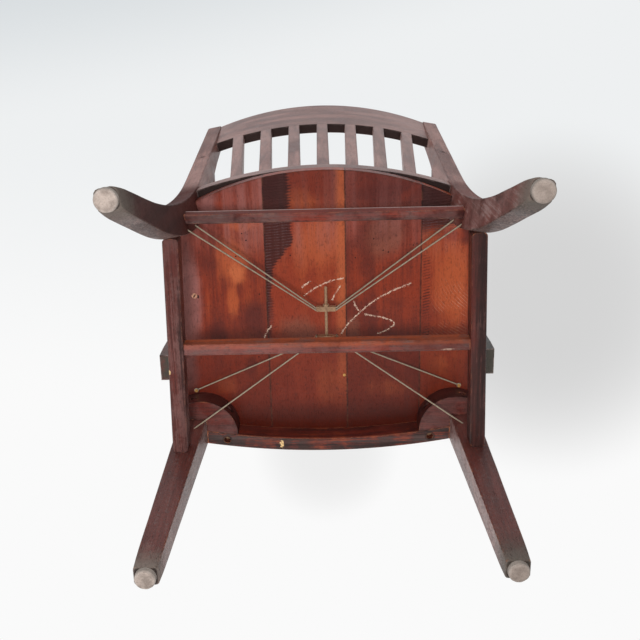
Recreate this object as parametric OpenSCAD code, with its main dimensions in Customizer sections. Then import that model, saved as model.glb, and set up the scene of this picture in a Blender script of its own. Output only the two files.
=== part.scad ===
// Wooden library armchair with a slatted, curved back, a solid shaped seat
// and a wire brace with a screw tensioner under the seat.
// Front is -Y, up is +Z, the sitter's left is +X.

/* [Seat] */
// Height of the seat's underside above the floor
seat_z = 412; // [390:1:430]
// Thickness of the seat boards
seat_t = 30; // [26:1:36]
// Width of the seat at the arm stumps
seat_w = 452; // [446:1:480]
// Distance from the front legs' faces to the middle of the seat's rear edge
seat_d = 407; // [400:1:412]
// How far the seat's front edge stands out in front of the apron
seat_overhang = 8; // [2:1:16]
// Radius of the seat's curved rear edge
seat_rear_r = 424; // [400:1:460]
// Radius of the seat's sides where they draw in to the rear posts
seat_side_r = 950; // [900:10:1100]
// Distance from the front legs' faces to where the sides start to draw in
seat_side_start = 140; // [136:1:150]
// Radius of the seat's front corners in plan
seat_corner_r = 25; // [16:1:32]
// Radius of the rounded top edge
seat_edge_r = 9; // [4:0.5:11]
// Place of the left glued joint between boards
joint_left = 87; // [70:1:100]
// Place of the middle glued joint between boards
joint_mid = -30; // [-32:1:20]
// Place of the right glued joint between boards
joint_right = -140; // [-145:1:-110]
// Radius of the two hollows of the saddle
scoop_r = 700; // [600:10:900]
// Depth of the two hollows of the saddle
scoop_depth = 6; // [2:0.5:8]
// Distance of each hollow's middle from the centre line
scoop_x = 92; // [80:1:100]
// Distance of the hollows' middles from the front legs' faces
scoop_y = 205; // [190:1:230]

/* [Front legs and apron] */
// Width over the outer faces of the front legs at the seat
front_w = 447; // [430:1:449]
// Width of a front leg at the seat
leg_top_w = 41.5; // [36:0.5:44]
// Depth of a front leg at the seat
leg_top_d = 42; // [38:0.5:46]
// Width of a front leg at its foot
leg_foot_w = 28.5; // [26:0.5:34]
// Depth of a front leg at its foot
leg_foot_d = 24; // [23:0.5:32]
// How far the front face falls back from the seat to the foot
leg_rake = 8.5; // [0:0.5:12]
// How far the outer face falls in from the seat to the foot
leg_splay = 1; // [0:0.5:6]
// Diameter of the round tenon on top of a front leg
leg_tenon_d = 22; // [16:1:26]
// Length of the round tenon on top of a front leg
leg_tenon_l = 16; // [10:1:20]
// Height of the apron
apron_h = 36; // [30:1:44]
// Thickness of the apron
apron_t = 21; // [18:0.5:24]
// How far the apron's middle stands out in front of the legs' faces
apron_proud = 14.3; // [8:0.1:18]
// How far the apron's ends lie behind the legs' faces
apron_setback = 1; // [0:0.1:2]
// Radius of the apron's lower edges
apron_edge_r = 3; // [1:0.5:5]
// Distance of the apron's screws inside the legs' inner faces
apron_screw_in = 29; // [27:1:60]
// Diameter of the counterbored screw holes in the apron
counterbore_d = 9.8; // [9.4:0.1:12]
// Depth of the counterbored screw holes in the apron
counterbore_l = 12; // [6:1:18]
// Length of the apron's screws
apron_screw_l = 40; // [34:1:44]
// Radius of the quarter round corner blocks
block_r = 54; // [46:1:60]
// Distance from the leg's outer face to the middle of the block's round
block_in = 33; // [28:1:36]
// Distance from the leg's front face to the middle of the block's round
block_back = 16; // [12:1:20]
// Distance of the block's leg screw inside the leg's outer face
block_leg_screw = 21; // [18:1:26]
// Distance of the block's apron screw inside the leg's outer face
block_apron_screw = 74; // [64:1:76]
// Length of the corner blocks' screws
block_screw_l = 35; // [32:1:40]
// Depth of the sunk holes for the corner blocks' screws
block_sink = 8; // [5:0.5:10]

/* [Rear posts] */
// Thickness of the plank that a rear post is cut from
post_t = 25; // [22:0.5:28]
// Turn of the rear posts about the vertical
post_turn = 10.4; // [6:0.1:13]
// Distance between the posts' inner rear edges at the seat
post_gap = 370.6; // [356:0.1:376]
// Distance from the front legs' faces to the posts' rear edges at the seat
post_y = 378.2; // [374:0.1:384]
// Depth of a post at the seat
post_d = 45; // [42:0.5:50]
// Radius of the post's rear curve
post_back_r = 960; // [900:10:1050]
// Lean of the post's rear edge at the foot
post_back_foot = 18; // [16:0.1:19]
// Lean of the post's rear edge above the seat
post_back_lean = 5.6; // [4:0.1:7]
// Height of the steepest point of the rear edge above the seat's underside
post_back_rise = 8; // [0:1:16]
// Radius of the post's front curve
post_front_r = 780; // [740:10:860]
// Lean of the post's front edge at the foot
post_front_foot = 21; // [19:0.1:22]
// Lean of the post's front edge above the seat
post_front_lean = 10.5; // [10:0.1:11.5]
// Lean of the post's front edge near its top
post_front_top = 6.5; // [5.5:0.1:7]
// Height of the steepest point of the front edge above the seat's underside
post_front_rise = 13; // [4:1:20]
// Height above the seat's underside where the front edge bends upright
post_bend = 228; // [215:1:240]
// Height of that bend from start to end
post_bend_h = 110; // [80:1:130]
// Height of the posts' tops above the floor
post_top = 892; // [876:1:900]
// Radius of the posts' rounded top corners
post_corner_r = 7; // [2:0.5:9]
// Radius of the posts' tops towards their outer faces
post_side_r = 12; // [4:0.5:18]

/* [Stretchers] */
// Height of the side stretchers' undersides above the floor
side_z = 274; // [260:1:276]
// Width of a side stretcher
side_w = 21; // [18:0.5:23]
// Height of a side stretcher
side_h = 28; // [24:0.5:29]
// How far a side stretcher's front end lies outside the leg's middle
side_off = 2.5; // [0:0.5:4]
// How far a side stretcher's rear end lies outside the post's middle
side_out = 8; // [3:0.5:9]
// Width of a side stretcher's tenons
side_tenon_w = 9; // [7:0.5:10]
// Height of a side stretcher's tenons
side_tenon_h = 18; // [14:0.5:20]
// Length of a side stretcher's tenons
side_tenon_l = 20; // [14:1:22]
// Wood left in the post outside a side stretcher's tenon
side_tenon_wall = 2; // [1.5:0.5:4]
// Radius of a side stretcher's ends in plan
side_end_r = 6; // [2:0.5:7]
// Radius of the stretchers' long edges
edge_r = 2; // [0.5:0.5:2.5]
// Distance from the front legs' faces to the middle of the cross stretcher
cross_y = 189.5; // [180:0.5:200]
// Width of the cross stretcher
cross_w = 16; // [14:0.5:20]
// Height of the cross stretcher
cross_h = 22; // [18:0.5:26]
// Length of the cross stretcher's tenons
cross_tenon_l = 11; // [8:0.5:14]
// Height of the rear stretcher's underside above the floor
rear_z = 300; // [299:1:304]
// Width of the rear stretcher
rear_w = 13; // [11:0.5:15]
// Height of the rear stretcher
rear_h = 24; // [20:0.5:26]
// Length of the rear stretcher's tenons
rear_tenon_l = 13; // [9:0.5:16]
// Shoulder left round the cross and rear stretchers' tenons
shoulder = 3.5; // [2.5:0.5:4]

/* [Back] */
// Radius of the lower back rail's curve
rail_r = 590; // [560:1:640]
// Thickness of the lower back rail
rail_t = 22; // [20:0.5:25]
// Height of the lower back rail
rail_h = 32; // [28:1:40]
// How far the lower back rail lies in from the posts' rear edges
rail_recess = 3.5; // [2:0.5:6]
// Height of the crest rail's lower edge above the floor
crest_z = 762; // [740:1:770]
// Height of the crest rail at its middle
crest_h = 142; // [130:1:150]
// Rise of the crest rail's arched top edge
crest_arch = 20; // [10:0.5:24]
// Radius of the crest rail's curve
crest_r = 590; // [560:1:640]
// Thickness of the crest rail
crest_t = 16; // [15:0.5:18]
// How far the crest rail lies in from the posts' rear edges
crest_recess = 6; // [3:0.5:8]
// Lean of the crest rail past the lean of the posts
crest_tip = 2.5; // [0:0.1:3.5]
// Width of a slat
slat_w = 19; // [16:0.5:22]
// Thickness of a slat
slat_t = 10; // [8:0.5:11]
// Distance between slats at the lower rail
slat_pitch_low = 42.8; // [40:0.1:46]
// Distance between slats at the crest rail
slat_pitch_high = 49.5; // [47:0.1:51]
// How far the slats lie in from the lower rail's rear face
slat_inset = 4; // [2:0.5:8]
// Width of a slat's tenons
slat_tenon_w = 14; // [10:0.5:15]
// Thickness of a slat's tenons
slat_tenon_t = 6; // [4:0.5:7]
// Length of a slat's tenons
slat_tenon_l = 12; // [8:1:16]

/* [Arms] */
// Height of the arms' undersides above the floor
arm_z = 640; // [630:1:655]
// Thickness of an arm
arm_t = 25; // [22:0.5:28]
// Width of an arm at the front
arm_w = 60; // [52:1:64]
// Width of an arm at the rear post
arm_rear_w = 30; // [27:0.5:32]
// Distance from the front legs' faces to the arms' front ends
arm_nose_y = 60; // [50:1:62]
// Length over which an arm widens, back from its full width
arm_flare = 200; // [180:1:205]
// Radius of an arm's long edges
arm_edge_r = 8; // [4:0.5:9]
// Thickness of an arm stump
stump_t = 26; // [22:0.5:30]
// Depth of an arm stump from front to rear
stump_d = 40; // [36:0.5:46]
// Distance from the front legs' faces to the middle of an arm stump
stump_y = 113; // [104:1:113]
// How far an arm stump reaches below the seat
stump_drop = 2; // [0:0.5:6]
// How far an arm stump's front and rear edges are hollowed
stump_waist = 4; // [0:0.5:6]
// Diameter of the tenon on top of an arm stump
stump_tenon_d = 16; // [12:1:18]
// Length of the tenon on top of an arm stump
stump_tenon_l = 15; // [10:1:18]

/* [Glides] */
// Diameter of a foot glide
glide_d = 25; // [20:0.5:26]
// Height of a foot glide
glide_h = 8; // [5:0.5:10]
// Diameter of a glide's stem
glide_stem_d = 6; // [4:0.5:8]
// Length of a glide's stem
glide_stem_l = 12; // [8:1:16]

/* [Wire brace] */
// Diameter of the brace wire
wire_d = 2.2; // [1.8:0.1:2.4]
// Distance of the tensioner below the seat
wire_drop = 52; // [48:1:56]
// Distance of the wires' holes in the front legs below the seat
wire_leg_drop = 63; // [58:1:68]
// Distance of the wires' holes inside the front legs' inner faces
wire_leg_in = 13; // [10:0.5:16]
// Distance of the upper wires' holes in the posts below the seat
wire_post_high = 47; // [44:1:50]
// Distance of the lower wires' holes in the posts below the seat
wire_post_low = 107; // [104:0.5:108]
// Distance of those holes behind the posts' front edges
wire_post_in = 5; // [4:0.5:7]
// Depth of the wires' holes
wire_seat_l = 8; // [6:0.5:10]
// Distance of the brass nails from the seat's sides
nail_in = 26; // [22:1:30]
// Distance of the brass nails behind the front legs' faces
nail_y = 75; // [74:1:82]
// Diameter of a brass nail
nail_d = 2; // [1.6:0.1:2.4]
// Length of a brass nail
nail_l = 18; // [14:1:22]
// Diameter of a brass nail's head
nail_head_d = 5; // [4:0.5:6]
// Height of a brass nail's head
nail_head_h = 1.2; // [0.8:0.1:1.6]
// Distance from the front legs' faces to the wire clip's middle
clip_y = 218; // [215:1:226]
// Length of the wire clip
clip_l = 27; // [26:0.5:32]
// Thickness of the wire clip
clip_w = 6.8; // [6.6:0.1:8]
// Height of the wire clip
clip_h = 7.5; // [7:0.1:10]
// Distance from the front legs' faces to the yoke's middle
yoke_y = 178; // [172:1:182]
// Length of the yoke
yoke_l = 36; // [34:0.5:44]
// Radius of the yoke's bend
yoke_r = 55; // [45:1:80]
// Thickness of the yoke
yoke_t = 2; // [1.6:0.1:3]
// Height of the yoke
yoke_h = 11; // [10:0.5:14]
// Diameter of the tension bolt
bolt_d = 4.6; // [4:0.1:4.8]
// Length of the tension bolt behind the yoke
bolt_l = 73; // [64:1:80]
// Size of the bolt's head and the nut across their flats
hex_w = 8; // [7:0.1:9]
// Height of the bolt's head and the nut
hex_h = 3.6; // [2.5:0.1:4.5]

/* [Fastenings] */
// Gap round glued tenons, dowels and plugs
glue_gap = 0.1; // [0.05:0.05:0.2]
// Gap round screws, nails, stems and wires in their holes
hole_gap = 0.15; // [0.05:0.05:0.25]
// Diameter of the dowels
dowel_d = 8; // [6:0.5:9]
// Depth of a dowel in a leg or post
dowel_out = 15; // [10:0.5:17]
// Depth of a dowel in a rail or the apron
dowel_in = 18; // [12:0.5:20]
// Distance between the two dowels of a joint
dowel_pitch = 16; // [12:0.5:18]
// Diameter of the screws' shanks
screw_d = 4.4; // [3.6:0.1:4.8]
// Diameter of the screws' heads
head_d = 8.4; // [7.6:0.1:8.8]
// Height of the screws' heads
head_h = 3; // [2:0.5:4]
// Length of the screws that hold the arms, stumps and posts
frame_screw_l = 45; // [42:1:48]
// Diameter of the wooden plugs over those screws
plug_d = 10; // [9.5:0.1:11]
// Depth of the wooden plugs
plug_l = 6; // [4:0.5:7]
// Distance of the lone screw from the centre line
lone_screw_x = 193.5; // [120:0.5:196]
// Distance of the lone screw behind the front legs' faces
lone_screw_y = 225; // [150:1:260]
// Place of the small tack from the centre line
tack_x = -26; // [-60:1:60]
// Distance of the small tack behind the front legs' faces
tack_y = 95; // [40:1:150]
// Diameter of the small tack
tack_d = 1.6; // [1.2:0.1:2]
// Length of the small tack
tack_l = 10; // [6:1:16]
// Diameter of the small tack's head
tack_head_d = 4.5; // [3:0.5:6]
// Height of the small tack's head
tack_head_h = 1; // [0.6:0.1:1.5]

/* [Hidden] */
$fn = 48;

// Number of slats, one node each
slats = 7;

// Facets on the large radii
arc_fn = 360;
// Facets on the dowels, tenons and their bores
bore_fn = 32;
// Facets on the small pins, screws and wires
pin_fn = 24;
// Share of a round edge that its middle facet keeps
round_mid = 1 - cos(45);
// Reach of the cutting shapes past the chair
far = 1200;
// Extra length of a cut past the face that it opens
over = 2;

// Colours of the photographed chair
seat_red = [0.50, 0.24, 0.15];
seat_dark = [0.42, 0.20, 0.15];
wood_rail = [0.42, 0.27, 0.25];
wood_leg = [0.28, 0.15, 0.12];
wood_grey = [0.52, 0.44, 0.43];
stump_green = [0.24, 0.25, 0.21];
glide_tan = [0.72, 0.67, 0.63];
steel_dull = [0.60, 0.56, 0.50];
steel_brown = [0.52, 0.42, 0.34];
brass = [0.75, 0.55, 0.28];

seat_top = seat_z + seat_t;
half_seat = seat_w / 2;
// Length over which the sides draw in, which ends inside the posts' notches
seat_side_l = 200;
side_mid = side_z + side_h / 2;

// Heights and cross sections of a front leg, on the left side
function leg_part(z) = (seat_z - z) / (seat_z - glide_h);
function leg_out(z) = front_w / 2 - leg_splay * leg_part(z);
function leg_in(z) = leg_out(z) - leg_top_w + (leg_top_w - leg_foot_w) * leg_part(z);
function leg_front(z) = leg_rake * leg_part(z);
function leg_rear(z) = leg_front(z) + leg_top_d - (leg_top_d - leg_foot_d) * leg_part(z);
function leg_mid(z) = [(leg_out(z) + leg_in(z)) / 2, (leg_front(z) + leg_rear(z)) / 2, z];

// How far a corner block stays inside the leg's outer face
block_edge = 8;

// The bow shared by the apron and the seat's front edge
apron_half = leg_in(seat_z);
bow_rise = apron_proud + apron_setback;
bow_r = (apron_half * apron_half + bow_rise * bow_rise) / (2 * bow_rise);
bow_y = bow_r - apron_proud;
function bow_front(x) = bow_y - sqrt(bow_r * bow_r - x * x);
function apron_mid(x) = bow_y - sqrt(pow(bow_r - apron_t / 2, 2) - x * x);
apron_z = seat_z - apron_h;
apron_screw_x = apron_half - apron_screw_in;

// Offset of a post's edge at a height: an arc that runs on straight at both ends
function bent(h, r, low, high) =
    h < -r * sin(low) ? r * (1 - cos(low)) + (-h - r * sin(low)) * tan(low)
    : h > r * sin(high) ? r * (1 - cos(high)) + (h - r * sin(high)) * tan(high)
    : r - sqrt(r * r - h * h);
// Offset taken back where the front edge bends upright again
bend_slope = tan(post_front_lean) - tan(post_front_top);
function unbent(h) =
    h < 0 ? 0
    : h < post_bend_h ? bend_slope * h * h / (2 * post_bend_h)
    : bend_slope * (h - post_bend_h / 2);
function post_rear(z) =
    bent(z - seat_z - post_back_rise, post_back_r, post_back_foot, post_back_lean);
function post_front(z) =
    -post_d
    + bent(z - seat_z - post_front_rise, post_front_r, post_front_foot, post_front_lean)
    - unbent(z - seat_z - post_bend);

// A point on a left post: s back along the plank, t out from its inner face
function post_point(s, t, z) = [
    post_gap / 2 + s * sin(post_turn) + t * cos(post_turn),
    post_y + s * cos(post_turn) - t * sin(post_turn),
    z
];

// Heights at which a post's curved edges are drawn
post_steps = 12;
bend_steps = 5;
function arc_heights(rise, r, low, high) =
    [for (i = [0 : post_steps]) seat_z + rise + r * sin(-low + (low + high) * i / post_steps)];
function post_rear_heights() = concat(
    [glide_h],
    arc_heights(post_back_rise, post_back_r, post_back_foot, post_back_lean)
);
function post_front_heights() = concat(
    [glide_h],
    arc_heights(post_front_rise, post_front_r, post_front_foot, post_front_lean),
    [for (i = [0 : bend_steps]) seat_z + post_bend + post_bend_h * i / bend_steps]
);
post_foot = post_point((post_front(glide_h) + post_rear(glide_h)) / 2, post_t / 2, glide_h);

// The chair's own middle from front to rear
front_edge_y = -apron_proud - seat_overhang;
rear_edge_y = post_point(post_rear(glide_h), 0, glide_h)[1];
mid_y = (front_edge_y + rear_edge_y) / 2;

// Side stretchers run from the front leg's middle to the post's front face
side_from = [leg_mid(side_mid)[0] + side_off, leg_rear(side_mid)];
side_to = post_point(post_front(side_mid), post_t / 2 + side_out, side_mid);
side_turn = atan2(side_to[0] - side_from[0], side_to[1] - side_from[1]);
side_l = norm([side_to[0] - side_from[0], side_to[1] - side_from[1]]);
side_inner_x = side_from[0] + (cross_y - side_from[1]) * tan(side_turn)
    - side_w / 2 / cos(side_turn);
side_tenon_x = post_t / 2 - side_tenon_wall - side_tenon_w / 2 - side_out;
cross_z = side_mid - cross_h / 2;

// The rear stretcher stands in the middle of the posts' depth
rear_mid = rear_z + rear_h / 2;
rear_point = post_point((post_front(rear_mid) + post_rear(rear_mid)) / 2, 0, rear_mid);

// The lower rail and the crest rail bow back between the posts
function rise(r, x) = r - sqrt(r * r - x * x);
rail_mid = seat_top + rail_h / 2;
rail_end = post_point(post_rear(rail_mid) - rail_recess, 0, rail_mid);
rail_y = rail_end[1] + rise(rail_r, rail_end[0]);
crest_end = post_point(post_rear(crest_z) - crest_recess, 0, crest_z);
crest_y = crest_end[1] + rise(crest_r, crest_end[0]);
crest_lean = atan(tan(post_back_lean) * cos(post_turn)) + crest_tip;
arch_r = (crest_end[0] * crest_end[0] + crest_arch * crest_arch) / (2 * crest_arch);

// The lower and upper middle of a slat, counted from the left
slat_edge_r = 1.5;
function slat_place(i) = (slats - 1) / 2 - i;
function slat_low(i) =
    let (x = slat_place(i) * slat_pitch_low)
    [x, rail_y - rise(rail_r, x) - slat_inset - slat_t / 2, seat_top + rail_h];
function slat_high(i) =
    let (x = slat_place(i) * slat_pitch_high)
    [x, crest_y - rise(crest_r, x) - slat_t / 2, crest_z];
function slat_up(i) = unit(slat_high(i) - slat_low(i));
function slat_turn(i) = asin(slat_place(i) * (slat_pitch_low + slat_pitch_high) / (rail_r + crest_r));
function unit(v) = v / norm(v);

// The arms, from the post's front face to the rounded nose
arm_mid = arm_z + arm_t / 2;
arm_rear = post_point(post_front(arm_mid), post_t / 2, arm_mid);
arm_front_x = half_seat + stump_t / 2;
arm_nose_r = arm_w / 2;
// Largest share of an arm's half width that its long edges may round
arm_round = 0.9;
arm_full_y = arm_nose_y + arm_nose_r;
arm_start_y = arm_full_y + 2 * arm_nose_r;
function ease(u) = u <= 0 ? 0 : u >= 1 ? 1 : u * u * (3 - 2 * u);
function arm_grow(y) = ease((arm_start_y + arm_flare - y) / arm_flare);
function arm_x(y) = arm_rear[0] + (arm_front_x - arm_rear[0]) * arm_grow(y);
function arm_half(y) = arm_rear_w / 2 + (arm_w - arm_rear_w) / 2 * arm_grow(y);

// The wires' ends
wire_z = seat_z - wire_drop;
wire_leg_z = seat_z - wire_leg_drop;
wire_leg_end = [leg_in(wire_leg_z) + wire_leg_in, leg_rear(wire_leg_z), wire_leg_z];
bead_over = 0.3;
eye_wire_d = wire_d + bead_over;
eye_r = nail_d / 2 + hole_gap + eye_wire_d / 2;
nail_point = [half_seat - nail_in, nail_y, seat_z - hole_gap - eye_wire_d / 2];
bead_d = wire_d + bead_over;
// Spacing of the two front wires on the yoke, and of the two rear wires in the clip
yoke_pitch = wire_d + 2.2;
clip_pitch = wire_d + 1.1;
yoke_hole_in = 3.5;
yoke_hole_x = yoke_l / 2 - yoke_hole_in;
yoke_hole_y = yoke_y - rise(yoke_r, yoke_hole_x);
yoke_front = yoke_hole_y - yoke_t - bead_d;
clip_hole_l = 8;
clip_bend_x = clip_l / 2 + bead_d / 2 + bead_over;
function wire_post_end(drop) =
    post_point(post_front(seat_z - drop) + wire_post_in, 0, seat_z - drop);
function yoke_bend(up) = [yoke_hole_x, yoke_front, wire_z + up * yoke_pitch / 2];
function clip_bend(up) = [clip_bend_x, clip_y + up * clip_pitch / 2, wire_z];

// Screw places, as shares of the thickness or depth that they sit in
stump_screw_z = seat_z + seat_t * 0.4;
stump_screw_pitch = stump_d / 2;
post_screw_z = seat_z + seat_t * 0.45;
post_screw_s = -post_d * 0.64;
block_screw_z = seat_z - apron_h * 0.55;
lone_screw_l = seat_t * 0.6;
arm_screw_cover = 1;
rail_dowel_s = post_rear(rail_mid) - rail_recess - rail_t / 2;
crest_dowel_mid = crest_h / 2 - crest_arch / 2;
apron_dowel_y = apron_mid(apron_half);

// Shapes used by several pieces

module seated() {
    translate([0, -mid_y, 0]) children();
}

// Draws its children on the left side, or mirrored on the right
module on_side(left) {
    if (left) children();
    else mirror([1, 0, 0]) children();
}

module both_sides() {
    children();
    mirror([1, 0, 0]) children();
}

// The frame of a left post: +x back along the plank, -y out from the inner face
module post_frame() {
    translate([post_gap / 2, post_y, 0]) rotate([0, 0, 90 - post_turn]) children();
}

// The frame of a left side stretcher: +y to the rear, +x outward, from its underside
module side_frame() {
    translate([side_from[0], side_from[1], side_z]) rotate([0, 0, -side_turn]) children();
}

// The frame of the crest rail, from the middle of its lower rear edge
module crest_frame() {
    translate([0, crest_y, crest_z]) rotate([-crest_lean, 0, 0]) children();
}

// A round bar between two points
module rod(from, to, d) {
    v = to - from;
    translate(from) rotate([0, acos(v[2] / norm(v)), atan2(v[1], v[0])])
        cylinder(h = norm(v), d = d, $fn = pin_fn);
}

// A countersunk screw along +z from the top of its head
module screw(l) {
    cylinder(h = head_h, d1 = head_d, d2 = screw_d, $fn = pin_fn);
    cylinder(h = l, d = screw_d, $fn = pin_fn);
}

// The hole for a screw, with its sunk part opened to the given length and diameter
module screw_hole(l, sink_d, sink_l) {
    cylinder(h = head_h + hole_gap, d1 = head_d + 2 * hole_gap, d2 = screw_d + 2 * hole_gap,
        $fn = pin_fn);
    cylinder(h = l + hole_gap, d = screw_d + 2 * hole_gap, $fn = pin_fn);
    translate([0, 0, -sink_l]) cylinder(h = sink_l, d = sink_d, $fn = pin_fn);
}

// A rectangle with rounded corners, from its lower middle
module soft_bar_section(w, h, r) {
    steps = 3;
    corner = [for (i = [0 : steps]) 90 * i / steps];
    polygon(concat(
        [for (a = corner) [w / 2 - r + r * sin(a), r - r * cos(a)]],
        [for (a = corner) [w / 2 - r + r * cos(a), h - r + r * sin(a)]],
        [for (a = corner) [-w / 2 + r - r * sin(a), h - r + r * cos(a)]],
        [for (a = corner) [-w / 2 + r - r * cos(a), r - r * sin(a)]]
    ));
}

// A closed solid through rings of points that run counterclockwise along its length
module loft(rings) {
    n = len(rings[0]);
    last = len(rings) - 1;
    points = [for (ring = rings) for (p = ring) p];
    walls = [for (i = [0 : last - 1]) for (j = [0 : n - 1])
        let (a = i * n + j, b = i * n + (j + 1) % n)
        each [[a, a + n, b + n], [a, b + n, b]]];
    polyhedron(points, concat(
        [[for (j = [0 : n - 1]) j]],
        walls,
        [[for (j = [0 : n - 1]) last * n + n - 1 - j]]
    ));
}

// A curved rail in plan: rear face through the origin, bowed to the rear
module rail_plan(r, t) {
    intersection() {
        translate([0, -r]) difference() {
            circle(r = r, $fn = arc_fn);
            circle(r = r - t, $fn = arc_fn);
        }
        translate([-post_gap, -post_gap / 2]) square([2 * post_gap, post_gap]);
    }
}

// Everything outside the left post's inner face
module outside_post() {
    post_frame() translate([-far / 2, -far, 0]) cube([far, far, far]);
}

// Everything behind the left post's front edge, far out to both sides
module behind_post_front(inner) {
    heights = post_front_heights();
    post_frame() translate([0, -inner, 0]) rotate([90, 0, 0])
        linear_extrude(far) polygon(concat(
            [for (z = heights) [post_front(z), z]],
            [[post_front(post_top), post_top], [far / 2, post_top], [far / 2, glide_h]]
        ));
}

// Seat

function seat_half(e) =
    let (
        fx = half_seat - seat_corner_r,
        front_r = bow_r + seat_overhang,
        fy = bow_y - sqrt(pow(front_r - seat_corner_r, 2) - fx * fx),
        turn = atan2(fy - bow_y, fx),
        r = seat_corner_r - e,
        front_steps = 9,
        side_steps = 5,
        rear_steps = 10,
        side_end = asin(seat_side_l / seat_side_r),
        rear_start = acos((post_gap / 2 + post_t / 2) / seat_rear_r)
    )
    concat(
        [for (i = [0 : front_steps - 1]) let (a = -90 + (turn + 90) * i / front_steps)
            [(front_r - e) * cos(a), bow_y + (front_r - e) * sin(a)]],
        [for (i = [0 : side_steps])
            let (a = turn * (1 - i / side_steps))
            [fx + r * cos(a), fy + r * sin(a)]],
        [for (i = [0 : side_steps]) let (a = side_end * i / side_steps)
            [half_seat - seat_side_r + (seat_side_r - e) * cos(a),
             seat_side_start + (seat_side_r - e) * sin(a)]],
        [for (i = [0 : rear_steps - 1])
            let (a = rear_start + (90 - rear_start) * i / rear_steps)
            [(seat_rear_r - e) * cos(a), seat_d - seat_rear_r + (seat_rear_r - e) * sin(a)]],
        [[0, seat_d - e]]
    );

// The outline at a height, drawn in by e: the right half mirrors the left
function seat_ring(e, z) =
    let (half = seat_half(e), n = len(half))
    concat(
        [for (p = half) [p[0], p[1], z]],
        [for (i = [n - 2 : -1 : 1]) [-half[i][0], half[i][1], z]]
    );

module seat_blank() {
    steps = 4;
    loft(concat(
        [seat_ring(0, seat_z)],
        [for (i = [0 : steps]) let (a = 90 * i / steps)
            seat_ring(seat_edge_r * (1 - cos(a)), seat_top - seat_edge_r * (1 - sin(a)))]
    ));
}

module leg_tenon(gap) {
    translate(leg_mid(seat_z) - [0, 0, over])
        cylinder(h = over + leg_tenon_l + gap, d = leg_tenon_d + 2 * gap, $fn = bore_fn);
}

module apron_screw_place() {
    translate([apron_screw_x, apron_mid(apron_screw_x), apron_z + counterbore_l]) children();
}

module stump_screw_places() {
    for (i = [-0.5, 0.5])
        translate([half_seat + stump_t - plug_l, stump_y + i * stump_screw_pitch, stump_screw_z])
            rotate([0, -90, 0]) children();
}

module post_screw_place() {
    translate(post_point(post_screw_s, post_t - plug_l, post_screw_z))
        rotate([0, 0, 90 - post_turn]) rotate([-90, 0, 0]) children();
}

module nail_place() {
    translate(nail_point) children();
}

module seat_bores() {
    both_sides() {
        leg_tenon(glue_gap);
        apron_screw_place() screw_hole(apron_screw_l, counterbore_d, over);
        stump_screw_places() screw_hole(frame_screw_l, plug_d, over);
        post_screw_place() screw_hole(frame_screw_l, plug_d, over);
        nail_place() cylinder(h = nail_l, d = nail_d + 2 * hole_gap, $fn = pin_fn);
    }
    translate([lone_screw_x, lone_screw_y, seat_z - head_h / 2])
        screw_hole(lone_screw_l, head_d + 2 * hole_gap, over);
    translate([tack_x, tack_y, seat_z - over])
        cylinder(h = over + tack_l, d = tack_d + 2 * hole_gap, $fn = pin_fn);
}

// One board of the seat, between two planes across the seat
module seat_board(from, to, tint) {
    color(tint) seated() difference() {
        intersection() {
            seat_blank();
            translate([from, -far / 2, 0]) cube([to - from, far, far]);
        }
        for (i = [-1, 1])
            translate([i * scoop_x, scoop_y, seat_top + scoop_r - scoop_depth])
                sphere(r = scoop_r, $fn = arc_fn);
        both_sides() behind_post_front(0);
        seat_bores();
    }
}

// Front legs, apron and corner blocks

module leg_blank() {
    intersection() {
        translate([0, leg_top_d + leg_rake, 0]) rotate([90, 0, 0])
            linear_extrude(2 * leg_top_d + leg_rake) polygon([
                [leg_in(glide_h), glide_h], [leg_out(glide_h), glide_h],
                [leg_out(seat_z), seat_z], [leg_in(seat_z), seat_z]
            ]);
        rotate([90, 0, 90]) linear_extrude(front_w) polygon([
            [leg_front(glide_h), glide_h], [leg_rear(glide_h), glide_h],
            [leg_rear(seat_z), seat_z], [leg_front(seat_z), seat_z]
        ]);
    }
}

// Everything in front of the leg's rear face
module before_leg_rear() {
    rotate([90, 0, 90]) linear_extrude(front_w) polygon([
        [-far, glide_h], [leg_rear(glide_h), glide_h],
        [leg_rear(seat_z), seat_z], [-far, seat_z]
    ]);
}

// Everything outside the leg's inner face
module outside_leg() {
    translate([0, far / 2, 0]) rotate([90, 0, 0]) linear_extrude(far) polygon([
        [leg_in(glide_h), glide_h], [far, glide_h], [far, seat_z], [leg_in(seat_z), seat_z]
    ]);
}

module apron_dowel_places() {
    for (i = [-0.5, 0.5])
        translate([leg_in(apron_z + apron_h / 2), apron_dowel_y,
            apron_z + apron_h / 2 + i * dowel_pitch])
            rotate([0, 90, 0]) children();
}

// A dowel across a joint face at z = 0, with a gap all round
module dowel(gap) {
    translate([0, 0, -dowel_in - gap])
        cylinder(h = dowel_in + dowel_out + 2 * gap, d = dowel_d + 2 * gap, $fn = bore_fn);
}

module block_screw_places() {
    block_y = leg_front(apron_z) + block_back;
    block_x = front_w / 2 - block_in;
    for (in = [block_leg_screw, block_apron_screw]) {
        x = front_w / 2 - in;
        wall = block_y + sqrt(block_r * block_r - pow(x - block_x, 2));
        translate([x, wall - block_sink, block_screw_z]) rotate([90, 0, 0]) children();
    }
}

module side_tenons(gap) {
    side_frame() for (y = [-side_tenon_l - gap, side_l - over])
        translate([side_tenon_x - side_tenon_w / 2 - gap, y, side_h / 2 - side_tenon_h / 2 - gap])
            cube([side_tenon_w + 2 * gap, side_tenon_l + over + gap, side_tenon_h + 2 * gap]);
}

module wire_hole(from, to) {
    run = unit(to - from);
    rod(to - run * over * 2, to + run * (wire_seat_l + hole_gap), wire_d + 2 * hole_gap);
}

module glide_hole(at) {
    translate([at[0], at[1], glide_h - over])
        cylinder(h = over + glide_stem_l + hole_gap, d = glide_stem_d + 2 * hole_gap, $fn = bore_fn);
}

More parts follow.
